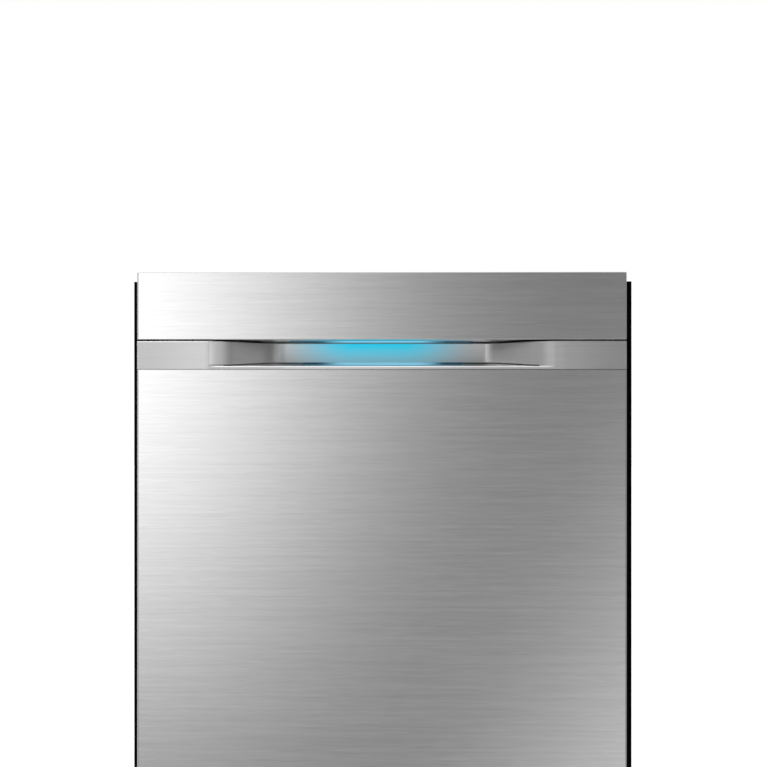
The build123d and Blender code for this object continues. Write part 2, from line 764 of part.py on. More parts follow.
def detergent_lid():
    """Sliding lid over the detergent cup, with a finger rib."""
    low_y = DISPENSER_FACE_Y + GAP
    top_y = low_y + LID_THICK
    x = (CUP_X[0] - LID_LAP, CUP_X[1] + LID_LAP)
    lid = block(x, (low_y, top_y), (CUP_Z[0] - LID_LAP, CUP_Z[1] + LID_LAP))
    lid = fillet(edges_along(lid, Axis.Y), 5.0)
    return lid + block((CUP_X[0] + LID_RIB, CUP_X[1] - LID_RIB), (top_y, top_y + 3), LID_RIB_Z)


def rinse_aid_cap():
    """Quarter-turn cap of the rinse-aid tank, with a grip bar."""
    low_y = DISPENSER_FACE_Y + GAP
    disc_y = (low_y, low_y + 3)
    cap = lengthwise(RINSE_X, RINSE_Z, disc_y, RINSE_CAP_R)
    cap += lengthwise(RINSE_X, RINSE_Z, (RINSE_FRONT_Y + 4, low_y), RINSE_PLUG_R)
    grip_y = (disc_y[1], disc_y[1] + 4)
    return cap + block(around(RINSE_X, RINSE_GRIP_X), grip_y, around(RINSE_Z, 3))


def latch_strike():
    """Tongue on the tub's top edge, with the window that the hook catches."""
    tongue = block(both(10), (STRIKE_TIP_Y, TUB_FRONT_Y), STRIKE_Z)
    plate_z = (STRIKE_Z[0] - 1.4, STRIKE_Z[1] + 1.6)
    plate = block(both(18), (TUB_FRONT_Y - 1.6, TUB_FRONT_Y), plate_z)
    return tongue + plate - block(both(6), STRIKE_WINDOW_Y, around(STRIKE_Z[0], 2 * PAST))


def latch_hook():
    """Sprung hook inside the door top. Its nose stands in the strike's window."""
    x = both(LATCH_HALF_WIDTH)
    low_z, high_z = HOOK_LEVER_Z
    hook = block(x, (LATCH_PIN_Y, HOOK_TIP_Y), HOOK_LEVER_Z)
    hook += block(x, (HOOK_TIP_Y - 5, HOOK_TIP_Y), (LATCH_PIN_Z, HOOK_TIP_Z))
    hook += crosswise(LATCH_PIN_Y, LATCH_PIN_Z, x, 2 * LATCH_PIN_R)
    hook += crosswise(LATCH_PIN_Y, LATCH_PIN_Z, both(LATCH_PIN_X), LATCH_PIN_R)
    return hook + block(x, (LATCH_PIN_Y - 10, LATCH_PIN_Y), (low_z + 0.5, high_z - 0.5))


# Cabinet


def rounded_top(shape, radius):
    """A shape with its upper lengthwise edges rounded."""
    return fillet(edges_along(shape, Axis.Y).group_by(Axis.Z)[-1], radius)


def tub():
    """Stainless wash tub: five walls, wheel ledges, a sunken basin and a front flange."""
    outer_y = (TUB_FRONT_Y, TUB_REAR_Y + WALL)
    outer = block(both(TUB_X + WALL), outer_y, (LEDGE_Z - WALL, TUB_TOP_Z + WALL))
    outer = rounded_top(outer, TUB_CORNER_R + WALL)
    basin_y = (BASIN_FRONT_Y - WALL, BASIN_REAR_Y + WALL)
    outer += block(both(BASIN_X + WALL), basin_y, (BASIN_Z - WALL, LEDGE_Z))
    outer += block(both(DOOR_HALF), (TUB_FRONT_Y, TUB_FRONT_Y + WALL), FLANGE_Z)
    inner = block(both(TUB_X), (TUB_FRONT_Y - PAST, TUB_REAR_Y), (LEDGE_Z, TUB_TOP_Z))
    inner = rounded_top(inner, TUB_CORNER_R)
    inner += block(both(BASIN_X), (BASIN_FRONT_Y, BASIN_REAR_Y), (BASIN_Z, LEDGE_Z + 1))
    shell = outer - inner
    floor_z = around(BASIN_Z, 2 * PAST)
    shell -= octagon(floor_z, SUMP_HALF + GAP)
    for x in both(HEATER_LEAD_X):
        shell -= upright(x, HEATER_Y[1], floor_z, HEATER_R + GAP)
    shell -= upright(FLOAT_X, FLOAT_Y, floor_z, FLOAT_STEM_R + 1)
    flange_y = around(TUB_FRONT_Y + 1, 2)
    notch = block((RAIL_WEB_X - HINGE_PLATE - 1, RAIL_WEB_X + 1), flange_y, around(HINGE_Z, 15))
    for cut in pair(block(SPRING_SLOT_X, flange_y, SPRING_SLOT_Z)) + pair(notch):
        shell -= cut
    return shell


def side_trim():
    """Black channel that closes the gap beside the door."""
    inner_x = DOOR_HALF + TRIM_GAP
    outer_x = WIDTH / 2
    front_y = FRONT_Y + TRIM_SETBACK
    z = (TRIM_LOW_Z, CABINET_TOP_Z)
    trim = block((inner_x, outer_x), (front_y, front_y + TRIM_SHEET), z)
    trim += block((outer_x - TRIM_SHEET, outer_x), (front_y, TRIM_REAR_Y), z)
    return trim + block((inner_x, inner_x + TRIM_SHEET), (front_y, TUB_FRONT_Y - GAP), z)


def door_gasket():
    """Rubber seal on the tub's front face, along both sides and the top."""
    y = (DOOR_BACK_Y + GAP, TUB_FRONT_Y)
    inner_x, outer_x = GASKET_X
    inner_z, outer_z = GASKET_TOP_Z
    inner_r, outer_r = GASKET_CORNERS
    outer = rounded_top(block(both(outer_x), y, (GASKET_LOW_Z, outer_z)), outer_r)
    inner = block(both(inner_x), (y[0] - 1, y[1] + 1), (GASKET_LOW_Z - 1, inner_z))
    return outer - rounded_top(inner, inner_r)


def base_side():
    """Right side channel of the base, with its two foot sockets."""
    outer_x = RAIL_WEB_X + BASE_SHEET
    y = (BASE_FRONT_Y, BASE_REAR_Y)
    side = block((RAIL_WEB_X, outer_x), y, (BASE_Z, BASE_TOP_Z))
    side += block((RAIL_FLANGE_X, outer_x), y, (BASE_Z, BASE_Z + BASE_SHEET))
    top_y = (BASE_FRONT_Y, RAIL_FLANGE_REAR_Y)
    side += block((RAIL_FLANGE_X, outer_x), top_y, (BASE_TOP_Z - BASE_SHEET, BASE_TOP_Z))
    for foot_y in (FOOT_FRONT_Y, FOOT_REAR_Y):
        side += upright(FOOT_X, foot_y, (BASE_Z, SOCKET_TOP_Z), SOCKET_R)
        side -= upright(FOOT_X, foot_y, (0, STUD_TOP_Z), STUD_R + BEARING_GAP)
    return side


def base_frame():
    """Folded steel base: two side channels, a front and a rear member, and foot sockets."""
    frame = base_side() + mirror(base_side(), about=Plane.YZ)
    x = both(RAIL_WEB_X + BASE_SHEET / 2)
    fold_z = (BASE_Z, BASE_Z + BASE_SHEET)
    front_y = (BASE_FRONT_Y, BASE_FRONT_Y + BASE_SHEET)
    rear_y = (BASE_REAR_Y - BASE_SHEET, BASE_REAR_Y)
    frame += block(x, front_y, (BASE_Z, FRONT_MEMBER_TOP_Z))
    frame += block(x, rear_y, (BASE_Z, REAR_MEMBER_TOP_Z))
    middle_x = both(RAIL_FLANGE_X + 1)
    frame += block(middle_x, (BASE_FRONT_Y, BASE_FRONT_Y + BASE_FLANGE), fold_z)
    frame += block(middle_x, (BASE_REAR_Y - BASE_FLANGE, BASE_REAR_Y), fold_z)
    for screw_x in KICK_SCREW_XS:
        frame -= lengthwise(screw_x, KICK_SCREW_Z, around(BASE_FRONT_Y, PAST), SCREW_R + SCREW_GAP)
    for pipe_x, half_width in PASSAGES:
        cut_z = (PASSAGE_LOW_Z, REAR_MEMBER_TOP_Z + PAST)
        frame -= block(around(pipe_x, half_width), around(BASE_REAR_Y, PAST), cut_z)
    return frame


def foot(x, y):
    """Levelling foot: a pad, a hexagon to turn it by and a threaded stud."""
    pad = upright(x, y, (0, FOOT_PAD_HEIGHT), FOOT_PAD_R)
    pad = fillet(top_edges(pad), 2.0)
    nut = Pos(x, y, FOOT_PAD_HEIGHT) * extrude(RegularPolygon(FOOT_NUT_R, 6), FOOT_PAD_HEIGHT)
    return pad + nut + upright(x, y, (FOOT_PAD_HEIGHT - 2, STUD_TOP_Z), STUD_R)


def toe_kick():
    """Black plinth panel, set back under the door."""
    panel = block(both(KICK_X), (KICK_Y, KICK_Y + WALL), KICK_Z)
    panel += block(both(KICK_X), (KICK_Y, KICK_Y + KICK_FOLD), (KICK_Z[1] - WALL, KICK_Z[1]))
    for x in KICK_SCREW_XS:
        panel -= lengthwise(x, KICK_SCREW_Z, around(KICK_Y, PAST), SCREW_R + SCREW_GAP)
    return panel


def toe_kick_screws():
    """Two screws that hold the plinth panel to the base."""
    screws = []
    for x in KICK_SCREW_XS:
        head = lengthwise(x, KICK_SCREW_Z, (KICK_Y - 2, KICK_Y), KICK_SCREW_HEAD_R)
        shank = lengthwise(x, KICK_SCREW_Z, (KICK_Y - 1, KICK_Y + KICK_SCREW_LENGTH), SCREW_R)
        screws.append(head + shank)
    return screws


def counter_brackets():
    """Tabs on the top edge, screwed up into the worktop."""
    y = (TUB_FRONT_Y + WALL, TUB_FRONT_Y + TAB_LENGTH)
    tab = block(TAB_X, y, (CABINET_TOP_Z - WALL, CABINET_TOP_Z))
    tab += block(TAB_X, (y[0], y[0] + WALL), (TAB_LOW_Z, CABINET_TOP_Z))
    for hole_y in TAB_HOLE_YS:
        tab -= upright(TAB_HOLE_X, hole_y, around(CABINET_TOP_Z, PAST), TAB_HOLE_R)
    return pair(tab)


def hinge_bracket():
    """Steel plate that reaches forward from the base to carry the door's pin."""
    x = (RAIL_WEB_X - HINGE_PLATE, RAIL_WEB_X)
    plate = block(x, (HINGE_Y, HINGE_PLATE_REAR_Y), around(HINGE_Z, HINGE_EYE_R))
    plate += crosswise(HINGE_Y, HINGE_Z, x, HINGE_EYE_R)
    return plate + crosswise(HINGE_Y, HINGE_Z, (LINER_X + GAP, x[1]), HINGE_PIN_R)


def door_spring():
    """Tension spring beside the tub, with straight ends, that balances the door."""
    length = SPRING_Y[1] - SPRING_Y[0]
    coil = Helix(pitch=length / SPRING_TURNS, height=length, radius=SPRING_R)
    wire = sweep_round(coil, SPRING_WIRE_R)
    wire = Pos(SPRING_X, SPRING_Y[0], SPRING_Z) * Rot(-90, 0, 0) * wire
    end_x = SPRING_X + SPRING_R
    front = lengthwise(end_x, SPRING_Z, (SPRING_END_Y[0], SPRING_Y[0] + 1), SPRING_WIRE_R)
    back = lengthwise(end_x, SPRING_Z, (SPRING_Y[1] - 1, SPRING_END_Y[1]), SPRING_WIRE_R)
    return [wire, front, back]


def sound_blanket():
    """Felt wrap over the tub's sides, top and rear."""
    clear = WALL + GAP
    outside = clear + BLANKET
    wrap_y = (BLANKET_FRONT_Y, TUB_REAR_Y + outside)
    wrap = block(both(TUB_X + outside), wrap_y, (BLANKET_LOW_Z, TUB_TOP_Z + outside))
    inside_y = (BLANKET_FRONT_Y - 1, TUB_REAR_Y + clear)
    return wrap - block(both(TUB_X + clear), inside_y, (BLANKET_LOW_Z - 1, TUB_TOP_Z + clear))


def sump():
    """Eight-sided plastic sump bowl, with the spray-arm post and two pipe stubs."""
    bowl = octagon((SUMP_BOTTOM_Z, BASIN_Z + SUMP_WALL), SUMP_HALF)
    bowl -= octagon((SUMP_BOTTOM_Z + SUMP_WALL, BASIN_Z + PAST), SUMP_HALF - SUMP_WALL)
    bowl += upright(ARM_X, ARM_Y, (SUMP_BOTTOM_Z, LOWER_ARM_Z - 10), POST_R)
    bowl += upright(ARM_X, ARM_Y, (LOWER_ARM_Z - 12, LOWER_ARM_Z + ARM_THICK + 4), ARM_PIN_R)
    for side, radius in ((1, PUMP_INLET_R + SUMP_WALL), (-1, 10)):
        inner_x = side * (SUMP_HALF - 2)
        end_x = side * PUMP_X[0]
        bowl += crosswise(ARM_Y, PUMP_Z, (inner_x, end_x), radius)
        bore_x = (inner_x - side * SUMP_WALL, end_x + side)
        bowl -= crosswise(ARM_Y, PUMP_Z, bore_x, radius - SUMP_WALL)
    return bowl


def flat_filter():
    """Fine filter plate over the sump, with holes for the post and the filter cup."""
    low_z = BASIN_Z + SUMP_WALL
    plate = upright(ARM_X, ARM_Y, (low_z, low_z + FILTER_RIM), FILTER_RIM_R)
    plate -= upright(ARM_X, ARM_Y, (low_z + WALL, low_z + PAST), FILTER_RIM_R - FILTER_RIM)
    cut_z = around(low_z, PAST)
    plate -= upright(ARM_X, ARM_Y, cut_z, POST_R + GAP)
    return plate - upright(FILTER_X, ARM_Y, cut_z, FILTER_HOLE_R)


def filter_cup():
    """Coarse filter cup that turns a quarter and lifts out of the sump."""
    low_z, high_z = FILTER_CUP_Z
    cup = upright(FILTER_X, ARM_Y, FILTER_CUP_Z, FILTER_CUP_R)
    cup += upright(FILTER_X, ARM_Y, (FILTER_COLLAR_Z, high_z), FILTER_COLLAR_R)
    inner_r = FILTER_CUP_R - FILTER_CUP_WALL
    cup -= upright(FILTER_X, ARM_Y, (low_z + FILTER_FLOOR, high_z + PAST), inner_r)
    return cup + block(around(FILTER_X, inner_r + 0.5), around(ARM_Y, 2), FILTER_GRIP_Z)


def heating_element():
    """Tubular heater round the basin. Both ends go down through the floor."""
    front_y, rear_y = HEATER_Y
    half = [(HEATER_LEAD_X, rear_y, HEATER_LEAD_Z), (HEATER_LEAD_X, rear_y, HEATER_Z)]
    half += [(HEATER_X, rear_y, HEATER_Z), (HEATER_X, front_y, HEATER_Z)]
    points = half + [(-x, y, z) for x, y, z in reversed(half)]
    return sweep_round(FilletPolyline(*points, radius=HEATER_BENDS), HEATER_R)


def spray_feed_tube():
    """Water duct: along the floor, up the rear wall and under the roof to the top arm."""
    x = both(DUCT_X)
    duct = block(x, DUCT_FLOOR_Y, (BASIN_Z, BASIN_Z + DUCT_FLOOR_HEIGHT))
    duct += block(x, (DUCT_FRONT_Y, TUB_REAR_Y), (LEDGE_Z, DUCT_TOP_Z[1]))
    duct += block(x, (ARM_Y - DUCT_X, TUB_REAR_Y), DUCT_TOP_Z)
    outlet_z = (RACK_DUCT_Z[0] + RACK_DUCT_Z[1] + GAP) / 2
    duct += lengthwise(0, outlet_z, (DUCT_FRONT_Y - DUCT_OUTLET, DUCT_FRONT_Y + 2), DUCT_OUTLET_R)
    return duct + upright(ARM_X, ARM_Y, (TOP_ARM_Z - 4, DUCT_TOP_Z[0] + 2), ARM_PIN_R)


def spray_arm(low_z, reach, plane_turn=0):
    """Two-blade spray arm with a round hub and a row of jets in each blade."""
    arm = Pos(ARM_X, ARM_Y, low_z + ARM_THICK / 2) * Cylinder(ARM_HUB_R, ARM_THICK)
    outline = [(0, -22), (reach - 12, -13), (reach, -6), (reach, 6), (reach - 12, 13), (0, 22)]
    blade = extrude(make_face(Polyline(*outline, close=True)), ARM_THICK - 3)
    blade = fillet(top_edges(blade), 3.0)
    for index in range(ARM_JETS):
        jet_x = reach * (0.24 + 0.72 * index / (ARM_JETS - 1)) - 4
        blade -= Pos(jet_x, 0, ARM_THICK - 4) * Box(*JET_SIZE)
    for turn in (0, 180):
        arm += Pos(ARM_X, ARM_Y, low_z) * Rot(0, 0, turn + plane_turn) * blade
    bore_z = (low_z - 1, low_z + ARM_THICK + 1)
    return arm - upright(ARM_X, ARM_Y, bore_z, ARM_PIN_R + BEARING_GAP)


def circulation_pump():
    """Pump housing with a hollow volute, an inlet on the sump's stub, and its motor."""
    motor_x = (PUMP_X[1], MOTOR_END_X)
    pump = crosswise(ARM_Y, PUMP_Z, PUMP_X, PUMP_R) + crosswise(ARM_Y, PUMP_Z, motor_x, MOTOR_R)
    pump -= crosswise(ARM_Y, PUMP_Z, VOLUTE_X, VOLUTE_R)
    pump -= crosswise(ARM_Y, PUMP_Z, around(PUMP_X[0], PAST), PUMP_INLET_R)
    shaft_x = (IMPELLER_X[0], SHAFT_END_X + PAST)
    pump -= crosswise(ARM_Y, PUMP_Z, shaft_x, SHAFT_R + BEARING_GAP)
    stand = block(PUMP_FOOT_X, around(ARM_Y, PUMP_FOOT_HALF), PUMP_FOOT_Z)
    return pump + (stand - crosswise(ARM_Y, PUMP_Z, motor_x, MOTOR_R - 1))


def pump_impeller():
    """Bladed disc and shaft inside the circulation pump."""
    disc_low_x, disc_high_x = IMPELLER_X
    wheel = crosswise(ARM_Y, PUMP_Z, IMPELLER_X, IMPELLER_R)
    wheel += crosswise(ARM_Y, PUMP_Z, (IMPELLER_EYE_X, disc_low_x + 2), 9)
    for index in range(IMPELLER_BLADES):
        blade = Pos(disc_low_x - 8, 0, 20) * Box(*IMPELLER_BLADE)
        wheel += Pos(0, ARM_Y, PUMP_Z) * Rot(360 * index / IMPELLER_BLADES, 0, 0) * blade
    return wheel + crosswise(ARM_Y, PUMP_Z, (disc_high_x - 2, SHAFT_END_X), SHAFT_R)


def drain_pump():
    """Small drain pump with an outlet that faces the rear."""
    face_x, body_x, end_x = DRAIN_PUMP_X
    body_r, motor_r = DRAIN_PUMP_RS
    pump = crosswise(ARM_Y, PUMP_Z, (face_x, body_x), body_r)
    pump += crosswise(ARM_Y, PUMP_Z, (body_x, end_x), motor_r)
    pump += lengthwise(HOSE_X, PUMP_Z, (ARM_Y, HOSE_START_Y), HOSE_R + 1)
    return pump - crosswise(ARM_Y, PUMP_Z, (face_x + PAST, face_x - 6), 7)


def drain_hose():
    """Hose from the drain pump up the rear in a high loop and down to its connector."""
    points = [(HOSE_X, HOSE_START_Y, PUMP_Z), (HOSE_X, HOSE_Y, PUMP_Z), (HOSE_X, HOSE_Y, HOSE_TOP_Z)]
    points += [(HOSE_DOWN_X, HOSE_Y, HOSE_TOP_Z), (HOSE_DOWN_X, HOSE_Y, HOSE_END_Z)]
    hose = sweep_round(FilletPolyline(*points, radius=HOSE_BENDS), HOSE_R)
    collar_z = (HOSE_END_Z - HOSE_COLLAR, HOSE_END_Z)
    connector = upright(HOSE_DOWN_X, HOSE_Y, collar_z, HOSE_R)
    connector += upright(HOSE_DOWN_X, HOSE_Y, (HOSE_END_Z - HOSE_STUB, HOSE_END_Z), HOSE_STUB_R)
    return [hose, connector]


def inlet_valve():
    """Water inlet valve: a body, a coil and a threaded stub that points to the rear."""
    body_y = (INLET_Y - 22, INLET_Y + 18)
    valve = block(around(INLET_X, 16), body_y, INLET_BODY_Z)
    coil_z = (INLET_BODY_Z[1], INLET_COIL_Z)
    valve += block(around(INLET_X, 12), (body_y[0] + 4, body_y[1] - 10), coil_z)
    valve += lengthwise(INLET_X, INLET_Z, (body_y[1], body_y[1] + 18), INLET_R)
    valve -= lengthwise(INLET_X, INLET_Z, (body_y[1] - 8, body_y[1] + 18 + PAST), INLET_BORE_R)
    strap_y = (BASE_FRONT_Y + BASE_SHEET, body_y[0])
    return valve + block(around(INLET_X, 20), strap_y, (56, 60))


def junction_box():
    """Steel wiring box at the right, with the supply cable's hole in its rear wall."""
    x = around(JUNCTION_X, JUNCTION_HALF)
    limits = (x, JUNCTION_Y, JUNCTION_Z)
    inside = [(low + JUNCTION_SHEET, high - JUNCTION_SHEET) for low, high in limits]
    box = block(*limits) - block(*inside)
    return box - lengthwise(JUNCTION_X, CABLE_Z, around(JUNCTION_Y[1], 3), CABLE_HOLE_R)


def float_dome():
    """Overfill float in the basin: a dome on a stem that goes down through the floor."""
    dome = upright(FLOAT_X, FLOAT_Y, (BASIN_Z + 1, FLOAT_TOP_Z), FLOAT_R)
    dome = fillet(top_edges(dome), 8.0)
    dome -= upright(FLOAT_X, FLOAT_Y, (BASIN_Z, FLOAT_TOP_Z - 6), FLOAT_R - 2)
    return dome + upright(FLOAT_X, FLOAT_Y, (FLOAT_STEM_LOW_Z, FLOAT_TOP_Z - 4), FLOAT_STEM_R)


# Racks


def channel(wall_x, web, lip, y, z):
    """Right-hand rail: a web against a wall and a lip at its lower and its upper edge."""
    rail = block((wall_x - web, wall_x), y, z)
    rail += block((wall_x - lip, wall_x), y, (z[0], z[0] + RAIL_SHEET))
    return rail + block((wall_x - lip, wall_x), y, (z[1] - RAIL_SHEET, z[1]))


def rack_rails():
    """Fixed rails on the tub's side walls, for the upper rack and the top tray."""
    rail = channel(TUB_X, RAIL_WEB, RAIL_LIP, RAIL_Y, RAIL_Z)
    tray_rail = block((TUB_X - TRAY_RAIL_WEB, TUB_X), RAIL_Y, TRAY_RAIL_Z)
    lip_z = (TRAY_RAIL_Z[0], TRAY_RAIL_Z[0] + RAIL_SHEET)
    tray_rail += block((TUB_X - TRAY_RAIL_LIP, TUB_X), RAIL_Y, lip_z)
    return pair(rail) + pair(tray_rail)


def upper_rails():
    """Middle members of the upper rack's telescopic rails."""
    clear = RAIL_SHEET + GAP
    wall_x = TUB_X - RAIL_WEB - GAP
    web = SLIDE_WEB - RAIL_WEB - GAP
    lip = SLIDE_LIP - RAIL_WEB - GAP
    return pair(channel(wall_x, web, lip, SLIDE_Y, (RAIL_Z[0] + clear, RAIL_Z[1] - clear)))


def basket(half_x, floor_z, rim_z, bands):
    """Wire basket: a floor and four walls, each a flat grid."""
    length = RACK_REAR_Y - RACK_FRONT_Y
    middle_y = (RACK_REAR_Y + RACK_FRONT_Y) / 2
    half_wire = WIRE / 2
    wall_z = (floor_z + WIRE + rim_z) / 2
    wall_height = rim_z - floor_z - WIRE
    floor = grid(2 * half_x, length, RACK_COLUMNS, RACK_ROWS)
    end = Rot(90, 0, 0) * grid(2 * half_x, wall_height, RACK_COLUMNS, bands)
    side = Rot(90, 0, 0) * grid(length - 2 * WIRE, wall_height, RACK_ROWS, bands)
    side = Rot(0, 0, 90) * side
    solids = [Pos(0, middle_y, floor_z + half_wire) * floor]
    for y in (RACK_FRONT_Y + half_wire, RACK_REAR_Y - half_wire):
        solids.append(Pos(0, y, wall_z) * end)
    return solids + pair(Pos(half_x - half_wire, middle_y, wall_z) * side)


def tine_row(x, half_y, count, low_z, height):
    """Row of upright wire tines on a round rail that runs front to back."""
    rail_z = low_z + TINE_RAIL_R
    row = lengthwise(x, rail_z, both(half_y + 6), TINE_RAIL_R)
    half = TINE_WIRE / 2
    for index in range(count):
        y = half_y * (2 * index / (count - 1) - 1)
        row += block(around(x, half), around(y, half), (rail_z, low_z + height))
    return row


def wheel_holder(y):
    """Bracket and axle that carry one rack wheel."""
    holder = block((LOWER_RACK_X, HOLDER_X), around(y, HOLDER_HALF), (WHEEL_Z - 8, HOLDER_TOP_Z))
    return holder + crosswise(y, WHEEL_Z, (LOWER_RACK_X + 2, AXLE_END_X), AXLE_R)


def lower_rack():
    """Lower dish rack: basket, fixed tine rows and wheel holders."""
    solids = basket(LOWER_RACK_X, LOWER_FLOOR_Z, LOWER_RIM_Z, 2)
    for x in LOWER_TINE_XS:
        solids.append(tine_row(x, LOWER_TINE_Y, LOWER_TINES, LOWER_TINE_Z, LOWER_TINE_HEIGHT))
    for y in WHEEL_YS.values():
        solids += pair(wheel_holder(y))
    return solids


def folding_tines():
    """Row of tines that folds flat for pans."""
    low_z = LOWER_TINE_Z + GAP
    return tine_row(FOLDING_TINE_X, LOWER_TINE_Y, LOWER_TINES, low_z, LOWER_TINE_HEIGHT)


def rack_wheel(side, y):
    """Roller with a bearing bore and a rounded tread."""
    low_x, high_x = WHEEL_X
    wheel = crosswise(y, WHEEL_Z, WHEEL_X, WHEEL_R)
    wheel = fillet(wheel.edges().filter_by(GeomType.CIRCLE), 1.5)
    wheel -= crosswise(y, WHEEL_Z, (low_x - 1, high_x + 1), AXLE_R + BEARING_GAP)
    recess_x = (high_x - 2, high_x + 1)
    recess = crosswise(y, WHEEL_Z, recess_x, WHEEL_RECESS_R)
    wheel -= recess - crosswise(y, WHEEL_Z, recess_x, WHEEL_HUB_R)
    return wheel if side == "right" else mirror(wheel, about=Plane.YZ)


def cutlery_basket():
    """Open plastic basket with slotted walls, dividers and a carrying handle."""
    low_z = BASKET_LOW_Z
    x0, x1 = BASKET_X
    y0, y1 = BASKET_Y
    wall = BASKET_WALL
    box = block(BASKET_X, BASKET_Y, (low_z, BASKET_TOP_Z))
    box -= block((x0 + wall, x1 - wall), (y0 + wall, y1 - wall), (low_z + wall, BASKET_TOP_Z + 1))
    divider_z = (low_z + 1, BASKET_DIVIDER_TOP_Z)
    pitch = (y1 - y0) / BASKET_CELLS
    for index in range(1, BASKET_CELLS):
        divider_y = around(y0 + pitch * index, BASKET_DIVIDER / 2)
        box += block((x0 + 1, x1 - 1), divider_y, divider_z)
    slot_pitch = (y1 - y0 - 2 * BASKET_SLOT_MARGIN) / BASKET_SLOTS
    for index in range(BASKET_SLOTS):
        slot_y = around(y0 + BASKET_SLOT_MARGIN + slot_pitch * (index + 0.5), 0.3 * slot_pitch)
        for slot_z in BASKET_SLOT_ZS:
            for wall_x in (x0 + 0.5, x1 - 0.5):
                box -= block(around(wall_x, wall), slot_y, slot_z)
    middle_x = (x0 + x1) / 2
    handle_x = around(middle_x, BASKET_HANDLE_X)
    box += block(around(middle_x, BASKET_WALL_X), both(1.5), divider_z)
    box += block(handle_x, both(3), (low_z + 1, BASKET_HANDLE_Z[1] - 2))
    return box + block(handle_x, both(BASKET_HANDLE_Y), BASKET_HANDLE_Z)


def upper_rack():
    """Upper dish rack: basket, tine rows, rail runners and the middle arm's water duct."""
    solids = basket(UPPER_RACK_X, UPPER_FLOOR_Z, UPPER_RIM_Z, 2)
    tine_z = UPPER_FLOOR_Z + WIRE
    for x in UPPER_TINE_XS:
        solids.append(tine_row(x, UPPER_TINE_Y, UPPER_TINES, tine_z, UPPER_TINE_HEIGHT))
    solids += pair(block((UPPER_RACK_X, RUNNER_X), both(RUNNER_Y), RUNNER_Z))
    duct_y = (ARM_Y - RACK_DUCT_X, DUCT_FRONT_Y - DUCT_OUTLET - 1)
    duct = block(both(RACK_DUCT_X), duct_y, RACK_DUCT_Z)
    duct += upright(ARM_X, ARM_Y, (MIDDLE_ARM_Z - 4, RACK_DUCT_Z[0] + 1), ARM_PIN_R)
    return solids + [duct]


def cup_shelf():
    """Wire shelf for cups that folds up against the upper rack's right side."""
    middle_x = SHELF_X - SHELF_WIDTH / 2
    shelf = Pos(middle_x, SHELF_Y, SHELF_Z) * grid(SHELF_WIDTH, SHELF_LENGTH, 3, 6, SHELF_WIRE)
    return shelf + lengthwise(SHELF_X, SHELF_Z, around(SHELF_Y, SHELF_LENGTH / 2), SHELF_PIVOT_R)


def third_rack():
    """Shallow cutlery tray under the roof, with a slotted floor and side runners."""
    solids = basket(THIRD_RACK_X, THIRD_FLOOR_Z, THIRD_RIM_Z, 1)
    runner_x = (THIRD_RACK_X, TUB_X - TRAY_RAIL_WEB - 2)
    runner_z = (TRAY_RAIL_Z[0] + RAIL_SHEET + GAP, TRAY_RUNNER_TOP_Z)
    return solids + pair(block(runner_x, both(RUNNER_Y), runner_z))


def save_cabinet():
    """Write the cabinet's sub-parts."""
    save("tub", tub())
    save("side_trims", *pair(side_trim()))
    save("door_gasket", door_gasket())
    save("base_frame", base_frame())
    save("front_right_foot", foot(FOOT_X, FOOT_FRONT_Y))
    save("front_left_foot", foot(-FOOT_X, FOOT_FRONT_Y))
    save("rear_feet", foot(FOOT_X, FOOT_REAR_Y), foot(-FOOT_X, FOOT_REAR_Y))
    save("toe_kick", toe_kick())
    save("toe_kick_screws", *toe_kick_screws())
    save("counter_brackets", *counter_brackets())
    save("hinge_brackets", *pair(hinge_bracket()))
    save("door_springs", *[half for piece in door_spring() for half in pair(piece)])
    save("latch_strike", latch_strike())
    save("sound_blanket", sound_blanket())
    save("sump", sump())
    save("flat_filter", flat_filter())
    save("filter_cup", filter_cup())
    save("heating_element", heating_element())
    save("spray_feed_tube", spray_feed_tube())
    save("circulation_pump", circulation_pump())
    save("pump_impeller", pump_impeller())
    save("drain_pump", drain_pump())
    save("drain_hose", *drain_hose())
    save("inlet_valve", inlet_valve())
    save("junction_box", junction_box())
    save("float_dome", float_dome())
    save("rack_rails", *rack_rails())


def save_racks():
    """Write the racks, their wheels and the spray arms."""
    save("upper_rails", *upper_rails())
    save("lower_rack", *lower_rack())
    save("folding_tines", folding_tines())
    save("cutlery_basket", cutlery_basket())
    for side in ("left", "right"):
        for place, y in WHEEL_YS.items():
            save(f"{place}_{side}_wheel", rack_wheel(side, y))
    save("upper_rack", *upper_rack())
    save("cup_shelf", cup_shelf())
    save("third_rack", *third_rack())
    save("lower_spray_arm", spray_arm(LOWER_ARM_Z, 220, 35))
    save("middle_spray_arm", spray_arm(MIDDLE_ARM_Z, 200, -40))
    save("top_spray_arm", spray_arm(TOP_ARM_Z, 150, 20))


def save_door():
    """Write the door's sub-parts."""
    save("door_panel", door_panel())
    save("door_fascia", door_fascia())
    save("handle_band", handle_band())
    save("handle_light_lens", *handle_light_lens())
    save("light_board", light_board())
    save("control_bezel", control_bezel())
    for name, x in BUTTON_XS.items():
        save(f"{name}_button", button(x))
    save("control_board", control_board())
    save("door_liner", door_liner())
    save("door_screws", *door_screws())
    save("door_insulation", door_insulation())
    save("door_bottom_seal", door_bottom_seal())
    save("door_arms", *pair(door_arm()))
    save("dispenser_body", dispenser_body())
    save("detergent_lid", detergent_lid())
    save("rinse_aid_cap", rinse_aid_cap())
    save("latch_hook", latch_hook())


os.makedirs("parts", exist_ok=True)
save_cabinet()
save_racks()
save_door()
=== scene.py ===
import bmesh
import bpy
import json
from math import atan2, cos, pi, sin, sqrt
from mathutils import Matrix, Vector
from mathutils.noise import noise as noise_at


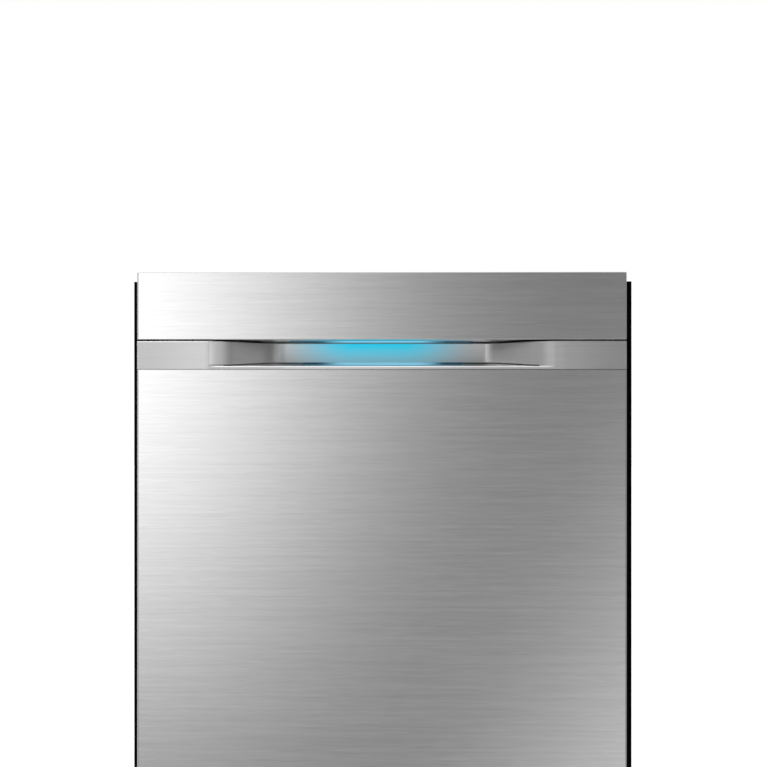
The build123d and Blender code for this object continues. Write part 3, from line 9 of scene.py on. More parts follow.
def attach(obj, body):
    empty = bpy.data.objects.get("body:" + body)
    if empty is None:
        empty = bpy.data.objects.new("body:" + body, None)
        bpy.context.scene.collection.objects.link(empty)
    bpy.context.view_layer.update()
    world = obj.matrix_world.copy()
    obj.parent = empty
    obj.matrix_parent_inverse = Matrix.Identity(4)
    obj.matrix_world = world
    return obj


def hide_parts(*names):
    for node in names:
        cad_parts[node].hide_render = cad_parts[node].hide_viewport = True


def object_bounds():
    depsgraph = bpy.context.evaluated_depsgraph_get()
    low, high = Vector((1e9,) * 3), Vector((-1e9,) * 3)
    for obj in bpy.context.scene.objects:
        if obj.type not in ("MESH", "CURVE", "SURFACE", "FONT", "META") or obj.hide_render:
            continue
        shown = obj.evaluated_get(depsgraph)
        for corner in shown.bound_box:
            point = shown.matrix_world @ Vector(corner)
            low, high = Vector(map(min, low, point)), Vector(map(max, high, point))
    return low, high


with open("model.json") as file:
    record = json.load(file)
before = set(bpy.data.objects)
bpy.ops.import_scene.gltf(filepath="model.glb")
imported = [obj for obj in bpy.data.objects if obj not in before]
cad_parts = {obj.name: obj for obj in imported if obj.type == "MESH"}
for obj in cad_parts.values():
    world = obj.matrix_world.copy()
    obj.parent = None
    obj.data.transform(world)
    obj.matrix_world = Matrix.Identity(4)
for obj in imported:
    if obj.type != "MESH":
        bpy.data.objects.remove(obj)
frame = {"nodes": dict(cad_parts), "record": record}
cad_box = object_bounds()

MM = 0.001
FRONT_Y = cad_box[0][1]

# The photograph: 767 pixels wide, level, straight at the door front
FRAME_PX = 767
PX = 0.0012046
DOOR_CENTRE_PX = 381.25
CAMERA_DISTANCE = 3.2
CAMERA_X = 0.100
CAMERA_Z = 0.7259
SENSOR_MM = 36.0
VIEW_DEPTH = 100


# Shader helpers


def new_material(name):
    """Node material with its tree and its Principled shader."""
    mat = bpy.data.materials.new(name)
    mat.use_nodes = True
    tree = mat.node_tree
    return mat, tree, tree.nodes["Principled BSDF"]


def feed(mat, name, socket):
    """Link a node's output into one input of the material's shader."""
    mat.node_tree.links.new(socket, mat.node_tree.nodes["Principled BSDF"].inputs[name])


def fed_by(mat, name):
    """The node output that feeds one input of the material's shader."""
    return mat.node_tree.nodes["Principled BSDF"].inputs[name].links[0].from_socket


def add(tree, kind, inputs=None, **settings):
    """Shader node; an input is a value or another node's output socket."""
    made = tree.nodes.new(kind)
    for key, value in settings.items():
        setattr(made, key, value)
    for key, value in (inputs or {}).items():
        if isinstance(value, bpy.types.NodeSocket):
            tree.links.new(value, made.inputs[key])
        else:
            made.inputs[key].default_value = value
    return made


def object_coords(tree, scale=(1, 1, 1)):
    """Object-space coordinates in metres, stretched by a scale."""
    coords = add(tree, "ShaderNodeTexCoord")
    return add(tree, "ShaderNodeMapping", {"Vector": coords.outputs["Object"], "Scale": scale}).outputs[0]


def places(tree):
    """Places along X, Y and Z in the object's frame, in metres."""
    return add(tree, "ShaderNodeSeparateXYZ", {0: object_coords(tree)}).outputs


def noise(tree, vector, scale, detail=4.0, rough=0.55):
    """Noise value between 0 and 1."""
    inputs = {"Vector": vector, "Scale": scale, "Detail": detail, "Roughness": rough}
    return add(tree, "ShaderNodeTexNoise", inputs).outputs["Fac"]


def math(tree, operation, a, b=0.0):
    """One arithmetic step."""
    return add(tree, "ShaderNodeMath", {0: a, 1: b}, operation=operation).outputs[0]


def combine(tree, operation, first, *others):
    """Several values joined by one operation."""
    for other in others:
        first = math(tree, operation, first, other)
    return first


def off_from(tree, value, centre):
    """Distance of a value from a centre."""
    return math(tree, "ABSOLUTE", math(tree, "SUBTRACT", value, centre))


def remap(tree, value, low, high, to_low=0.0, to_high=1.0, smooth=False):
    """Map a value range to another one."""
    made = add(tree, "ShaderNodeMapRange", {"Value": value, 1: low, 2: high, 3: to_low, 4: to_high})
    made.interpolation_type = "SMOOTHSTEP" if smooth else "LINEAR"
    return made.outputs[0]


def mix_values(tree, fac, low, high):
    """Blend between two values."""
    return add(tree, "ShaderNodeMix", {0: fac, 2: low, 3: high}, data_type="FLOAT").outputs[0]


def tint(tree, fac, low, high):
    """Blend between two colours, each a value or another node's output socket."""
    made = add(tree, "ShaderNodeMix", {"Factor": fac}, data_type="RGBA")
    for key, colour in (("A", low), ("B", high)):
        if isinstance(colour, bpy.types.NodeSocket):
            tree.links.new(colour, made.inputs[key])
        else:
            made.inputs[key].default_value = (*colour, 1)
    return made.outputs["Result"]


def bump(tree, height, distance, strength=1.0):
    """Bump from a height value, in metres."""
    inputs = {"Height": height, "Distance": distance, "Strength": strength}
    return add(tree, "ShaderNodeBump", inputs).outputs[0]


def shade(colour, factor):
    """Colour made lighter or darker."""
    return tuple(min(1.0, channel * factor) for channel in colour)


# Materials: the part of the noise's range that shows, and the brushed steel's settings
NOISE_SPAN = (0.3, 0.7)
BLACK, WHITE = (0.0, 0.0, 0.0), (1.0, 1.0, 1.0)
BRUSH_STRETCH = 4
BRUSH_DETAIL, BRUSH_BREAKUP = 3.0, 0.6
BRUSH_ROUGH_SPREAD = 0.03
BRUSH_DEPTH, BRUSH_STRENGTH = 0.00001, 0.05
BRUSH_TURN = 0.25


def streaks(tree, along, across):
    """Noise drawn out along X: cells per metre along the brushing and across it."""
    return noise(tree, object_coords(tree, (along, along, across)), 1.0, BRUSH_DETAIL, BRUSH_BREAKUP)


def brushed_steel(name, colour, roughness, aniso, streak=0.05, grain=(8, 320, 800)):
    """Steel brushed along X: long fine streaks in colour, roughness and bump."""
    mat, tree, bsdf = new_material(name)
    along, across, fine_across = grain
    wide = streaks(tree, along, across)
    fine = streaks(tree, BRUSH_STRETCH * along, fine_across)
    both = math(tree, "ADD", math(tree, "MULTIPLY", wide, 0.5), math(tree, "MULTIPLY", fine, 0.5))
    spread = remap(tree, both, *NOISE_SPAN)
    feed(mat, "Base Color", tint(tree, spread, shade(colour, 1 - streak), shade(colour, 1 + streak)))
    bsdf.inputs["Metallic"].default_value = 1.0
    smoothest, roughest = roughness * (1 - BRUSH_ROUGH_SPREAD), roughness * (1 + BRUSH_ROUGH_SPREAD)
    feed(mat, "Roughness", remap(tree, spread, 0, 1, smoothest, roughest))
    bsdf.inputs["Anisotropic"].default_value = aniso
    feed(mat, "Tangent", add(tree, "ShaderNodeTangent", direction_type="RADIAL", axis="Z").outputs[0])
    bsdf.inputs["Anisotropic Rotation"].default_value = BRUSH_TURN
    feed(mat, "Normal", bump(tree, fine, BRUSH_DEPTH, BRUSH_STRENGTH))
    return mat


# The joint between the handle band and the large panel, in metres, and its tone at the left and right: a dark
# joint with painted shade, lighter at the left where the light falls
JOINT_Z = 0.7430
JOINT_HALF = (0.0004, 0.0010)
JOINT_X = (-0.05, 0.12)
JOINT_LEFT, JOINT_RIGHT = (0.44, 0.44, 0.44), (0.21, 0.21, 0.21)


def joint_shade(mat):
    """Darker steel where the large panel's top edge turns into its joint with the handle band: partly a dark
    joint, partly painted shade that is lighter at the left than the right.
    """
    tree = mat.node_tree
    x, _, z = places(tree)
    # Painted shade in the joint: lighter at the left, darker at the right
    dark = tint(tree, remap(tree, x, *JOINT_X), JOINT_LEFT, JOINT_RIGHT)
    away = remap(tree, off_from(tree, z, JOINT_Z), *JOINT_HALF)
    feed(mat, "Base Color", tint(tree, away, dark, fed_by(mat, "Base Color")))
    return mat


# The handle band, in metres: each pair is the span over which a painted tone comes or goes: painted glow,
# painted shade and painted highlights
RECESS_Y = (FRONT_Y + 0.004, FRONT_Y + 0.020)
GLOW_X = -0.006
GLOW_HALF = (0.028, 0.128)
GLOW_Z = (0.748, 0.772)
GLOW_LOW = 0.26
# Painted glow on the back wall: a blue tint in its colour and a weak light of its own stand in for the light
# bars' light
GLOW_PAINTED_TINT, GLOW_COLOUR, GLOW_LEVEL = (0.03, 0.45, 0.66), (0.02, 0.60, 0.80), 0.45
# Painted shade: the band's ends, its slanted walls and the foot of its back wall are darker
BAND_END, BAND_END_SHADE = (0.200, 0.294), 0.80
WALL_START, WALL_END = (0.126, 0.136), (0.186, 0.208)
WALL_FOOT_Z, WALL_SHADE = (0.7470, 0.7485), 0.76
BACK_END, BACK_Z, BACK_DUSK = (0.122, 0.130), (0.750, 0.770), 0.42
ROUGH_X, ROUGH_WALLS, ROUGH_END = 0.005, (0.120, 0.128), (0.200, 0.220)
ROUGH_ADDED = (0.04, 0.15)
# Painted highlights: lighter crest, lip, left bend and left top edge, the crest and lip fading towards the
# right
CREST_LOW_Z, CREST_TOP_Z, CREST_END = (0.7450, 0.7456), (0.7472, 0.7476), (0.200, 0.208)
CREST_X, CREST_RIGHT = (0.04, 0.16), 0.45
BEND_LEFT, BEND_RIGHT, BEND_FOOT_Z = (-0.2088, -0.2072), (-0.195, -0.181), (0.7485, 0.7495)
LIP_LOW_Z, LIP_TOP_Z, LIP_END = (0.7434, 0.7440), (0.7445, 0.7449), (0.196, 0.206)
LIP_X, LIP_TONE = (0.00, 0.10), 0.5
EDGE_Z, EDGE_X = (0.7758, 0.7763), (-0.208, -0.198)


def recess_painted_glow(tree, x, z):
    """Share of the painted blue glow on the back wall: strongest in the middle, under the upper light bar."""
    across = remap(tree, off_from(tree, x, GLOW_X), *GLOW_HALF, 1.0, 0.0, smooth=True)
    return math(tree, "MULTIPLY", across, remap(tree, z, *GLOW_Z, GLOW_LOW, 1.0))


def band_painted_shade(tree, side, z, inside):
    """Share of colour kept under painted shade: less at the band's ends, on the slanted walls and low on the
    back wall.
    """
    ends = remap(tree, side, *BAND_END, 1.0, BAND_END_SHADE, smooth=True)
    past_back = remap(tree, side, *WALL_START, smooth=True)
    before_end = remap(tree, side, *WALL_END, 1.0, 0.0, smooth=True)
    walls = combine(tree, "MULTIPLY", past_back, before_end, remap(tree, z, *WALL_FOOT_Z))
    walls = remap(tree, walls, 0.0, 1.0, 1.0, WALL_SHADE)
    back = math(tree, "MULTIPLY", inside, remap(tree, side, *BACK_END, 1.0, 0.0))
    dusk = math(tree, "MULTIPLY", back, remap(tree, z, *BACK_Z, BACK_DUSK, 0.0))
    return combine(tree, "MULTIPLY", ends, walls, math(tree, "SUBTRACT", 1.0, dusk))


def band_painted_highlight(tree, x, z, side):
    """Share of painted highlight: the lip's crest and underside, the left bend and the left top edge."""
    crest = combine(
        tree, "MULTIPLY",
        remap(tree, z, *CREST_LOW_Z),
        remap(tree, z, *CREST_TOP_Z, 1.0, 0.0),
        remap(tree, side, *CREST_END, 1.0, 0.0),
        remap(tree, x, *CREST_X, 1.0, CREST_RIGHT, smooth=True),
    )
    bend = combine(
        tree, "MULTIPLY",
        remap(tree, x, *BEND_LEFT),
        remap(tree, x, *BEND_RIGHT, 1.0, 0.0, smooth=True),
        remap(tree, z, *BEND_FOOT_Z),
    )
    lip = combine(
        tree, "MULTIPLY",
        remap(tree, z, *LIP_LOW_Z),
        remap(tree, z, *LIP_TOP_Z, LIP_TONE, 0.0),
        remap(tree, side, *LIP_END, 1.0, 0.0),
        remap(tree, x, *LIP_X, 1.0, 0.0, smooth=True),
    )
    edge = math(tree, "MULTIPLY", remap(tree, z, *EDGE_Z), remap(tree, x, *EDGE_X, 1.0, 0.0))
    return combine(tree, "MAXIMUM", crest, bend, lip, edge)


def recess_roughness(tree, x):
    """Roughness added in the recess: a little on its back wall, more on its walls and bends."""
    off_centre = off_from(tree, x, ROUGH_X)
    added = remap(tree, off_centre, *ROUGH_WALLS, *ROUGH_ADDED, smooth=True)
    return math(tree, "MULTIPLY", added, remap(tree, off_centre, *ROUGH_END, 1.0, 0.0, smooth=True))


def lit_band(mat):
    """Painted shade and painted highlights in the handle band's steel, and the painted blue glow on the
    recess's back wall.
    """
    tree = mat.node_tree
    x, y, z = places(tree)
    side = math(tree, "ABSOLUTE", x)
    inside = remap(tree, y, *RECESS_Y, smooth=True)
    # Painted blue glow: a tint in the wall's colour and a weak light of its own
    glow = math(tree, "MULTIPLY", recess_painted_glow(tree, x, z), inside)
    # Painted shade and painted highlights in the steel's colour
    steel = tint(tree, band_painted_shade(tree, side, z, inside), BLACK, fed_by(mat, "Base Color"))
    steel = tint(tree, band_painted_highlight(tree, x, z, side), steel, WHITE)
    feed(mat, "Base Color", tint(tree, glow, steel, GLOW_PAINTED_TINT))
    feed(mat, "Roughness", math(tree, "ADD", fed_by(mat, "Roughness"), recess_roughness(tree, x)))
    feed(mat, "Emission Strength", math(tree, "MULTIPLY", glow, GLOW_LEVEL))
    tree.nodes["Principled BSDF"].inputs["Emission Color"].default_value = (*GLOW_COLOUR, 1)
    return mat


MOTTLE_SCALE, MOTTLE_DETAIL, MOTTLE_TONE = 14.0, 3.0, 0.06
SMOOTHER, ROUGHER = 0.05, 0.06
GRAIN_DETAIL, GRAIN_STRENGTH = 2.0, 0.5


def moulded(name, colour, roughness, grain=900, depth=0.00004, coat=0.0, gloss=0.5):
    """Moulded plastic or paint: fine grain, slight mottling in colour and gloss."""
    mat, tree, bsdf = new_material(name)
    mottle = noise(tree, object_coords(tree), MOTTLE_SCALE, MOTTLE_DETAIL)
    fine = noise(tree, object_coords(tree), grain, GRAIN_DETAIL)
    darker, lighter = shade(colour, 1 - MOTTLE_TONE), shade(colour, 1 + MOTTLE_TONE)
    feed(mat, "Base Color", tint(tree, mottle, darker, lighter))
    feed(mat, "Roughness", remap(tree, mottle, *NOISE_SPAN, roughness - SMOOTHER, roughness + ROUGHER))
    bsdf.inputs["Coat Weight"].default_value = coat
    bsdf.inputs["Specular IOR Level"].default_value = gloss
    feed(mat, "Normal", bump(tree, fine, depth, GRAIN_STRENGTH))
    return mat


def galvanised(name, colour, spangle=170.0, contrast=0.2, rough=(0.32, 0.5), depth=0.00005, strength=0.3):
    """Zinc-coated steel with crystal spangle."""
    mat, tree, bsdf = new_material(name)
    cells = add(tree, "ShaderNodeTexVoronoi", {"Vector": object_coords(tree), "Scale": spangle})
    grey = add(tree, "ShaderNodeRGBToBW", {0: cells.outputs["Color"]}).outputs[0]
    feed(mat, "Base Color", tint(tree, grey, shade(colour, 1 - contrast), shade(colour, 1 + contrast)))
    feed(mat, "Roughness", remap(tree, grey, 0, 1, *rough))
    bsdf.inputs["Metallic"].default_value = 1.0
    feed(mat, "Normal", bump(tree, grey, depth, strength))
    return mat


FIBRE_STRETCH, FIBRE_SHARE = (1, 1, 0.4), 0.6
FIBRE_SCALE, FIBRE_DETAIL, FIBRE_BREAKUP = 330.0, 7.0, 0.8
CLOUD_SCALE = 22.0
FIBRE_DARK, FIBRE_LIGHT = 0.55, 1.6
FIBRE_DEPTH, FIBRE_STRENGTH = 0.0012, 0.8


def felt(name, colour, roughness=0.95, sheen=0.25):
    """Pressed fibre: soft mottling and a fuzzy bump."""
    mat, tree, bsdf = new_material(name)
    fibre = noise(tree, object_coords(tree, FIBRE_STRETCH), FIBRE_SCALE, FIBRE_DETAIL, FIBRE_BREAKUP)
    cloud = noise(tree, object_coords(tree), CLOUD_SCALE)
    fibre = math(tree, "MULTIPLY", fibre, FIBRE_SHARE)
    mixed = math(tree, "ADD", fibre, math(tree, "MULTIPLY", cloud, 1 - FIBRE_SHARE))
    feed(mat, "Base Color", tint(tree, mixed, shade(colour, FIBRE_DARK), shade(colour, FIBRE_LIGHT)))
    bsdf.inputs["Roughness"].default_value = roughness
    bsdf.inputs["Sheen Weight"].default_value = sheen
    feed(mat, "Normal", bump(tree, mixed, FIBRE_DEPTH, FIBRE_STRENGTH))
    return mat


def circuit_board(name, colour, scale=60.0, track=0.03, dark=0.8, copper=1.8, roughness=0.3):
    """Green solder mask with faint copper tracks."""
    mat, tree, bsdf = new_material(name)
    inputs = {"Vector": object_coords(tree), "Scale": scale, "Mortar Size": track}
    inputs["Color1"] = (*shade(colour, dark), 1)
    inputs["Color2"] = (*colour, 1)
    inputs["Mortar"] = (*shade(colour, copper), 1)
    feed(mat, "Base Color", add(tree, "ShaderNodeTexBrick", inputs).outputs["Color"])
    bsdf.inputs["Roughness"].default_value = roughness
    return mat


# Light bars: colours along the bar, half the lengths of its bright and lit stretches, and its lens
BAR_LIT, BAR_UNLIT = (0.19, 0.47, 0.63), (0.004, 0.035, 0.065)
BAR_HALF = (0.042, 0.080)
BAR_RIPPLE, BAR_RIPPLE_SCALE = 0.003, 90.0
LENS_COLOUR, LENS_ROUGH, LENS_GLOSS = (0.006, 0.012, 0.020, 1), 0.35, 0.25


def light_bar(name):
    """Smoked diffuser lit from behind: pale in the middle, deep blue towards both ends."""
    mat, tree, bsdf = new_material(name)
    side = math(tree, "ABSOLUTE", places(tree)[0])
    uneven = noise(tree, object_coords(tree), BAR_RIPPLE_SCALE)
    uneven = remap(tree, uneven, *NOISE_SPAN, -BAR_RIPPLE, BAR_RIPPLE)
    glow = remap(tree, math(tree, "ADD", side, uneven), *BAR_HALF, 1.0, 0.0, smooth=True)
    feed(mat, "Emission Color", tint(tree, glow, BAR_UNLIT, BAR_LIT))
    bsdf.inputs["Emission Strength"].default_value = 1.0
    bsdf.inputs["Base Color"].default_value = LENS_COLOUR
    bsdf.inputs["Roughness"].default_value = LENS_ROUGH
    bsdf.inputs["Specular IOR Level"].default_value = LENS_GLOSS
    return mat


def make_materials():
    """One material for each of the record's material slots."""
    door_grey = (0.62, 0.62, 0.62)
    front = brushed_steel("front_steel", door_grey, 0.16, 0.5, streak=0.085)
    band = brushed_steel("band_steel", door_grey, 0.24, 0.0, streak=0.06)
    tub = brushed_steel("tub_steel", (0.58, 0.58, 0.575), 0.30, 0.4, streak=0.04, grain=(2, 60, 700))
    paint = moulded("black_paint", (0.0008, 0.0008, 0.0009), 0.5, 700, 0.00003, gloss=0.03)
    return {
        "front_steel": joint_shade(front),
        "band_steel": lit_band(band),
        "tub_steel": tub,
        "rail_steel": brushed_steel("rail_steel", (0.66, 0.66, 0.66), 0.26, 0.5, streak=0.03),
        "filter_steel": brushed_steel("filter_steel", (0.55, 0.55, 0.54), 0.38, 0.0, streak=0.06),
        "heater_steel": brushed_steel("heater_steel", (0.36, 0.34, 0.33), 0.42, 0.0, streak=0.10),
        "spring_steel": brushed_steel("spring_steel", (0.42, 0.42, 0.43), 0.36, 0.0, streak=0.05),
        "screw_steel": brushed_steel("screw_steel", (0.70, 0.70, 0.70), 0.22, 0.0, streak=0.03),
        "zinc_steel": galvanised("zinc_steel", (0.50, 0.51, 0.52)),
        "black_paint": paint,
        "rack_coating": moulded("rack_coating", (0.36, 0.385, 0.41), 0.34, 500, 0.00002, coat=0.3),
        "rubber": moulded("rubber", (0.030, 0.030, 0.032), 0.72, 1200, 0.00006),
        "felt": felt("felt", (0.060, 0.060, 0.064)),
        "black_plastic": moulded("black_plastic", (0.016, 0.016, 0.018), 0.50, 1100),
        "button_plastic": moulded("button_plastic", (0.060, 0.062, 0.066), 0.42, 1100),
        "grey_plastic": moulded("grey_plastic", (0.26, 0.28, 0.30), 0.48),
        "pump_plastic": moulded("pump_plastic", (0.045, 0.045, 0.05), 0.52),
        "filter_plastic": moulded("filter_plastic", (0.18, 0.21, 0.24), 0.45),
        "hose_plastic": moulded("hose_plastic", (0.20, 0.21, 0.22), 0.5, 400),
        "white_plastic": moulded("white_plastic", (0.70, 0.70, 0.68), 0.45),
        "basket_plastic": moulded("basket_plastic", (0.28, 0.31, 0.34), 0.46),
        "wheel_plastic": moulded("wheel_plastic", (0.22, 0.24, 0.26), 0.45),
        "arm_plastic": moulded("arm_plastic", (0.23, 0.26, 0.29), 0.44),
        "dispenser_plastic": moulded("dispenser_plastic", (0.26, 0.27, 0.29), 0.36),
        "lid_plastic": moulded("lid_plastic", (0.14, 0.16, 0.19), 0.34),
        "circuit_board": circuit_board("circuit_board", (0.03, 0.16, 0.07)),
        "blue_light": light_bar("blue_light"),
    }


materials = make_materials()


def dress_cad_nodes():
    """Give every CAD node the material of its slot."""
    for entry in frame["record"]["subparts"]:
        node = frame["nodes"][entry["node"]]
        node.data.materials.clear()
        node.data.materials.append(materials[entry["material_slot"]])


dress_cad_nodes()


# Pieces that are finer than their solids, from the solids' own sizes in millimetres


def spaced(low, high, count):
    """Evenly spaced values, both ends included."""
    return [low + (high - low) * index / (count - 1) for index in range(count)]


def rounded_route(corners, radius, closed=False, steps=5):
    """Points of straight runs joined by smooth bends."""
    corners = [Vector(corner) for corner in corners]
    last = len(corners) - 1
    points = []
    for index, corner in enumerate(corners):
        if not closed and index in (0, last):
            points.append(corner)
            continue
        before = corners[index - 1] - corner
        after = corners[(index + 1) % len(corners)] - corner
        start = corner + before.normalized() * radius
        end = corner + after.normalized() * radius
        for step in range(steps + 1):
            t = step / steps
            points.append((1 - t) ** 2 * start + 2 * t * (1 - t) * corner + t ** 2 * end)
    return points


def link_piece(name, data):
    """Object for a mesh, in the scene."""
    piece = bpy.data.objects.new(name, data)
    bpy.context.collection.objects.link(piece)
    return piece


def finish_piece(piece, body, slot, replaced=()):
    """Dress a piece, let it ride on its body and hide the solids that it stands for."""
    piece.data.materials.clear()
    piece.data.materials.append(materials[slot])
    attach(piece, body)
    if replaced:
        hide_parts(*replaced)
    return piece


def wire_piece(name, body, slot, routes, replaced=()):
    """Round wires as one mesh; a route is (points, radii, closed)."""
    data = bpy.data.curves.new(name, "CURVE")
    data.dimensions = "3D"
    data.bevel_depth = MM
    data.bevel_resolution = 2
    data.use_fill_caps = True
    for points, radii, closed in routes:
        spline = data.splines.new("POLY")
        spline.points.add(len(points) - 1)
        spline.use_cyclic_u = closed
        for index, point in enumerate(points):
            spline.points[index].co = (*(Vector(point) * MM), 1)
            spline.points[index].radius = radii[index] if isinstance(radii, tuple) else radii
    curve = bpy.data.objects.new(name + "_curve", data)
    mesh = bpy.data.meshes.new_from_object(curve)
    bpy.data.objects.remove(curve)
    bpy.data.curves.remove(data)
    mesh.shade_smooth()
    mesh.name = name
    return finish_piece(link_piece(name, mesh), body, slot, replaced)


def prism(mesh, outline, axis, low, high):
    """Add a straight prism: an outline drawn out along an axis, between two places on it."""
    def place(a, b, along):
        return {0: (along, a, b), 1: (a, along, b), 2: (a, b, along)}[axis]
    ends = []
    for along in (low, high):
        ends.append([mesh.verts.new(Vector(place(a, b, along)) * MM) for a, b in outline])
    mesh.faces.new(ends[0])
    mesh.faces.new(list(reversed(ends[1])))
    count = len(outline)
    for index in range(count):
        after = (index + 1) % count
        mesh.faces.new([ends[0][index], ends[1][index], ends[1][after], ends[0][after]])


def ring(centre, radius, count=28):
    """Outline of a circle."""
    a, b = centre
    turns = [2 * pi * index / count for index in range(count)]
    return [(a + radius * cos(turn), b + radius * sin(turn)) for turn in turns]


def rounded_box(a, b, radius, steps=4):
    """Outline of a rectangle with rounded corners."""
    points = []
    spots = [(a[1], b[1], 0), (a[0], b[1], 90), (a[0], b[0], 180), (a[1], b[0], 270)]
    for corner_a, corner_b, turn in spots:
        centre_a = corner_a - radius if corner_a == a[1] else corner_a + radius
        centre_b = corner_b - radius if corner_b == b[1] else corner_b + radius
        for step in range(steps + 1):
            angle = (turn + 90 * step / steps) * pi / 180
            points.append((centre_a + radius * cos(angle), centre_b + radius * sin(angle)))
    return points


SHARP_ANGLE = 0.7


def solid_piece(name, body, slot, prisms, bevel=0.8, replaced=()):
    """Bevelled prisms as one mesh; a prism is (outline, axis, low, high)."""
    mesh = bmesh.new()
    for parts in prisms:
        prism(mesh, *parts)
    bmesh.ops.recalc_face_normals(mesh, faces=mesh.faces)
    data = bpy.data.meshes.new(name)
    mesh.to_mesh(data)
    mesh.free()
    piece = link_piece(name, data)
    edges = piece.modifiers.new("edges", "BEVEL")
    edges.width = bevel * MM
    edges.segments = 2
    edges.limit_method = "ANGLE"
    edges.angle_limit = SHARP_ANGLE
    data.shade_smooth()
    smooth = piece.modifiers.new("normals", "WEIGHTED_NORMAL")
    smooth.keep_sharp = True
    return finish_piece(piece, body, slot, replaced)


def both_sides(low, high):
    """Limits along X and their mirror image."""
    return [(low, high), (-high, -low)]


# Racks
RACK_Y = (-236.0, 235.0)
RACK_BEND = 13.0
LOOP_BEND, LOOP_STEPS = 24.0, 7
CORNER_CLEAR = 30.0
WIRE_R, RIM_R, TINE_R, TRAY_WIRE_R = 1.9, 2.7, 1.6, 1.4
LAYER = 3.4
LOWER_X, LOWER_Z, LOWER_RIM = 246.0, 193.0, 345.0
UPPER_X, UPPER_Z, UPPER_RIM = 240.0, 520.0, 640.0
TRAY_X, TRAY_Z, TRAY_RIM = 236.0, 745.0, 785.0
LOWER_LOOPS, UPPER_LOOPS = (245.0, 295.0), (580.0,)
FIXED_TINES_X, FOLDING_TINES_X = (-200.0, -125.0, -50.0), 45.0
UPPER_TINES_X = (-170.0, -85.0, 0.0, 85.0)
RAIL_R, RAIL_SPARE = 2.0, 6.0
TINE_LIFT, FOLDING_TINE_LIFT = 4.0, 4.3

# A tine's tip: distances below its top, each with its share of the tine's radius
TINE_TIP = ((1.8, 1.0), (0.6, 0.8), (0.0, 0.3))

# Wheel clips and axles of the lower rack
WHEEL_YS, WHEEL_Z = (-135.0, 150.0), 162.8
CLIP_X, AXLE_X, AXLE_R = (246.0, 256.0), (248.0, 268.6), 3.9
CLIP_HALF, CLIP_FOOT_HALF = 12.0, 7.0
CLIP_TOP_Z, CLIP_SHOULDER_Z, CLIP_LOW_Z = 219.0, 176.0, 156.0

# Runners of the upper rack and the tray, and the upper rack's duct
RUNNER_Y = (-225.0, 225.0)
UPPER_RUNNER_ROUND, TRAY_RUNNER_ROUND, DUCT_ROUND = 3.9, 2.8, 5.0
UPPER_RUNNER_X, UPPER_RUNNER_Z = (UPPER_X - 1, 259.0), (603.0, 611.0)
TRAY_RUNNER_X, TRAY_RUNNER_Z = (TRAY_X - 1, 267.0), (754.3, 760.0)
DUCT_X, DUCT_Y, DUCT_Z = (-11.0, 11.0), (-1.0, 247.0), (502.0, 519.5)
SPOUT_Y, SPOUT_R, SPOUT_Z = 10.0, 7.9, (482.0, 503.0)

# Cup shelf
SHELF_X, SHELF_Y, SHELF_Z = (136.0, 232.0), (-208.0, -22.0), 622.0
SHELF_R, SHELF_RIM_R, SHELF_ROD_R = 1.5, 1.6, 3.0
SHELF_WIRES, SHELF_CROSS_WIRES, SHELF_INSET = 8, 2, 24.0
SHELF_BEND = 10.0


def basket_routes(half_x, floor_z, rim_z, across, along, loops, wire=WIRE_R):
    """Wires of a basket: bent wires both ways across the floor, and loops round the walls."""
    x = half_x - wire
    front, rear = RACK_Y[0] + wire, RACK_Y[1] - wire
    low_z = floor_z + wire - LAYER / 2
    top_z = rim_z - RIM_R
    routes = []
    for y in spaced(front + CORNER_CLEAR, rear - CORNER_CLEAR, across):
        corners = [(-x, y, top_z), (-x, y, low_z), (x, y, low_z), (x, y, top_z)]
        routes.append((rounded_route(corners, RACK_BEND), wire, False))
    for wire_x in spaced(CORNER_CLEAR - x, x - CORNER_CLEAR, along):
        corners = [(wire_x, front, top_z), (wire_x, front, low_z + LAYER)]
        corners += [(wire_x, rear, low_z + LAYER), (wire_x, rear, top_z)]
        routes.append((rounded_route(corners, RACK_BEND), wire, False))
    for z, radius in [(top_z, RIM_R)] + [(z, wire) for z in loops]:
        inset = 0 if radius == RIM_R else LAYER
        edge_x, near, far = x - inset, front + inset, rear - inset
        corners = [(-edge_x, near, z), (edge_x, near, z), (edge_x, far, z), (-edge_x, far, z)]
        routes.append((rounded_route(corners, LOOP_BEND, True, LOOP_STEPS), radius, True))
    return routes


def tine_routes(x, half_y, count, low_z, height):
    """A rail along Y with upright tines, each with a rounded tip."""
    rail_z = low_z + RAIL_R
    top_z = low_z + height
    ends = (-half_y - RAIL_SPARE, half_y + RAIL_SPARE)
    routes = [([(x, y, rail_z) for y in ends], RAIL_R, False)]
    radii = (TINE_R,) + tuple(share * TINE_R for _, share in TINE_TIP)
    for y in spaced(-half_y, half_y, count):
        points = [(x, y, rail_z)] + [(x, y, top_z - below) for below, _ in TINE_TIP]
        routes.append((points, radii, False))
    return routes


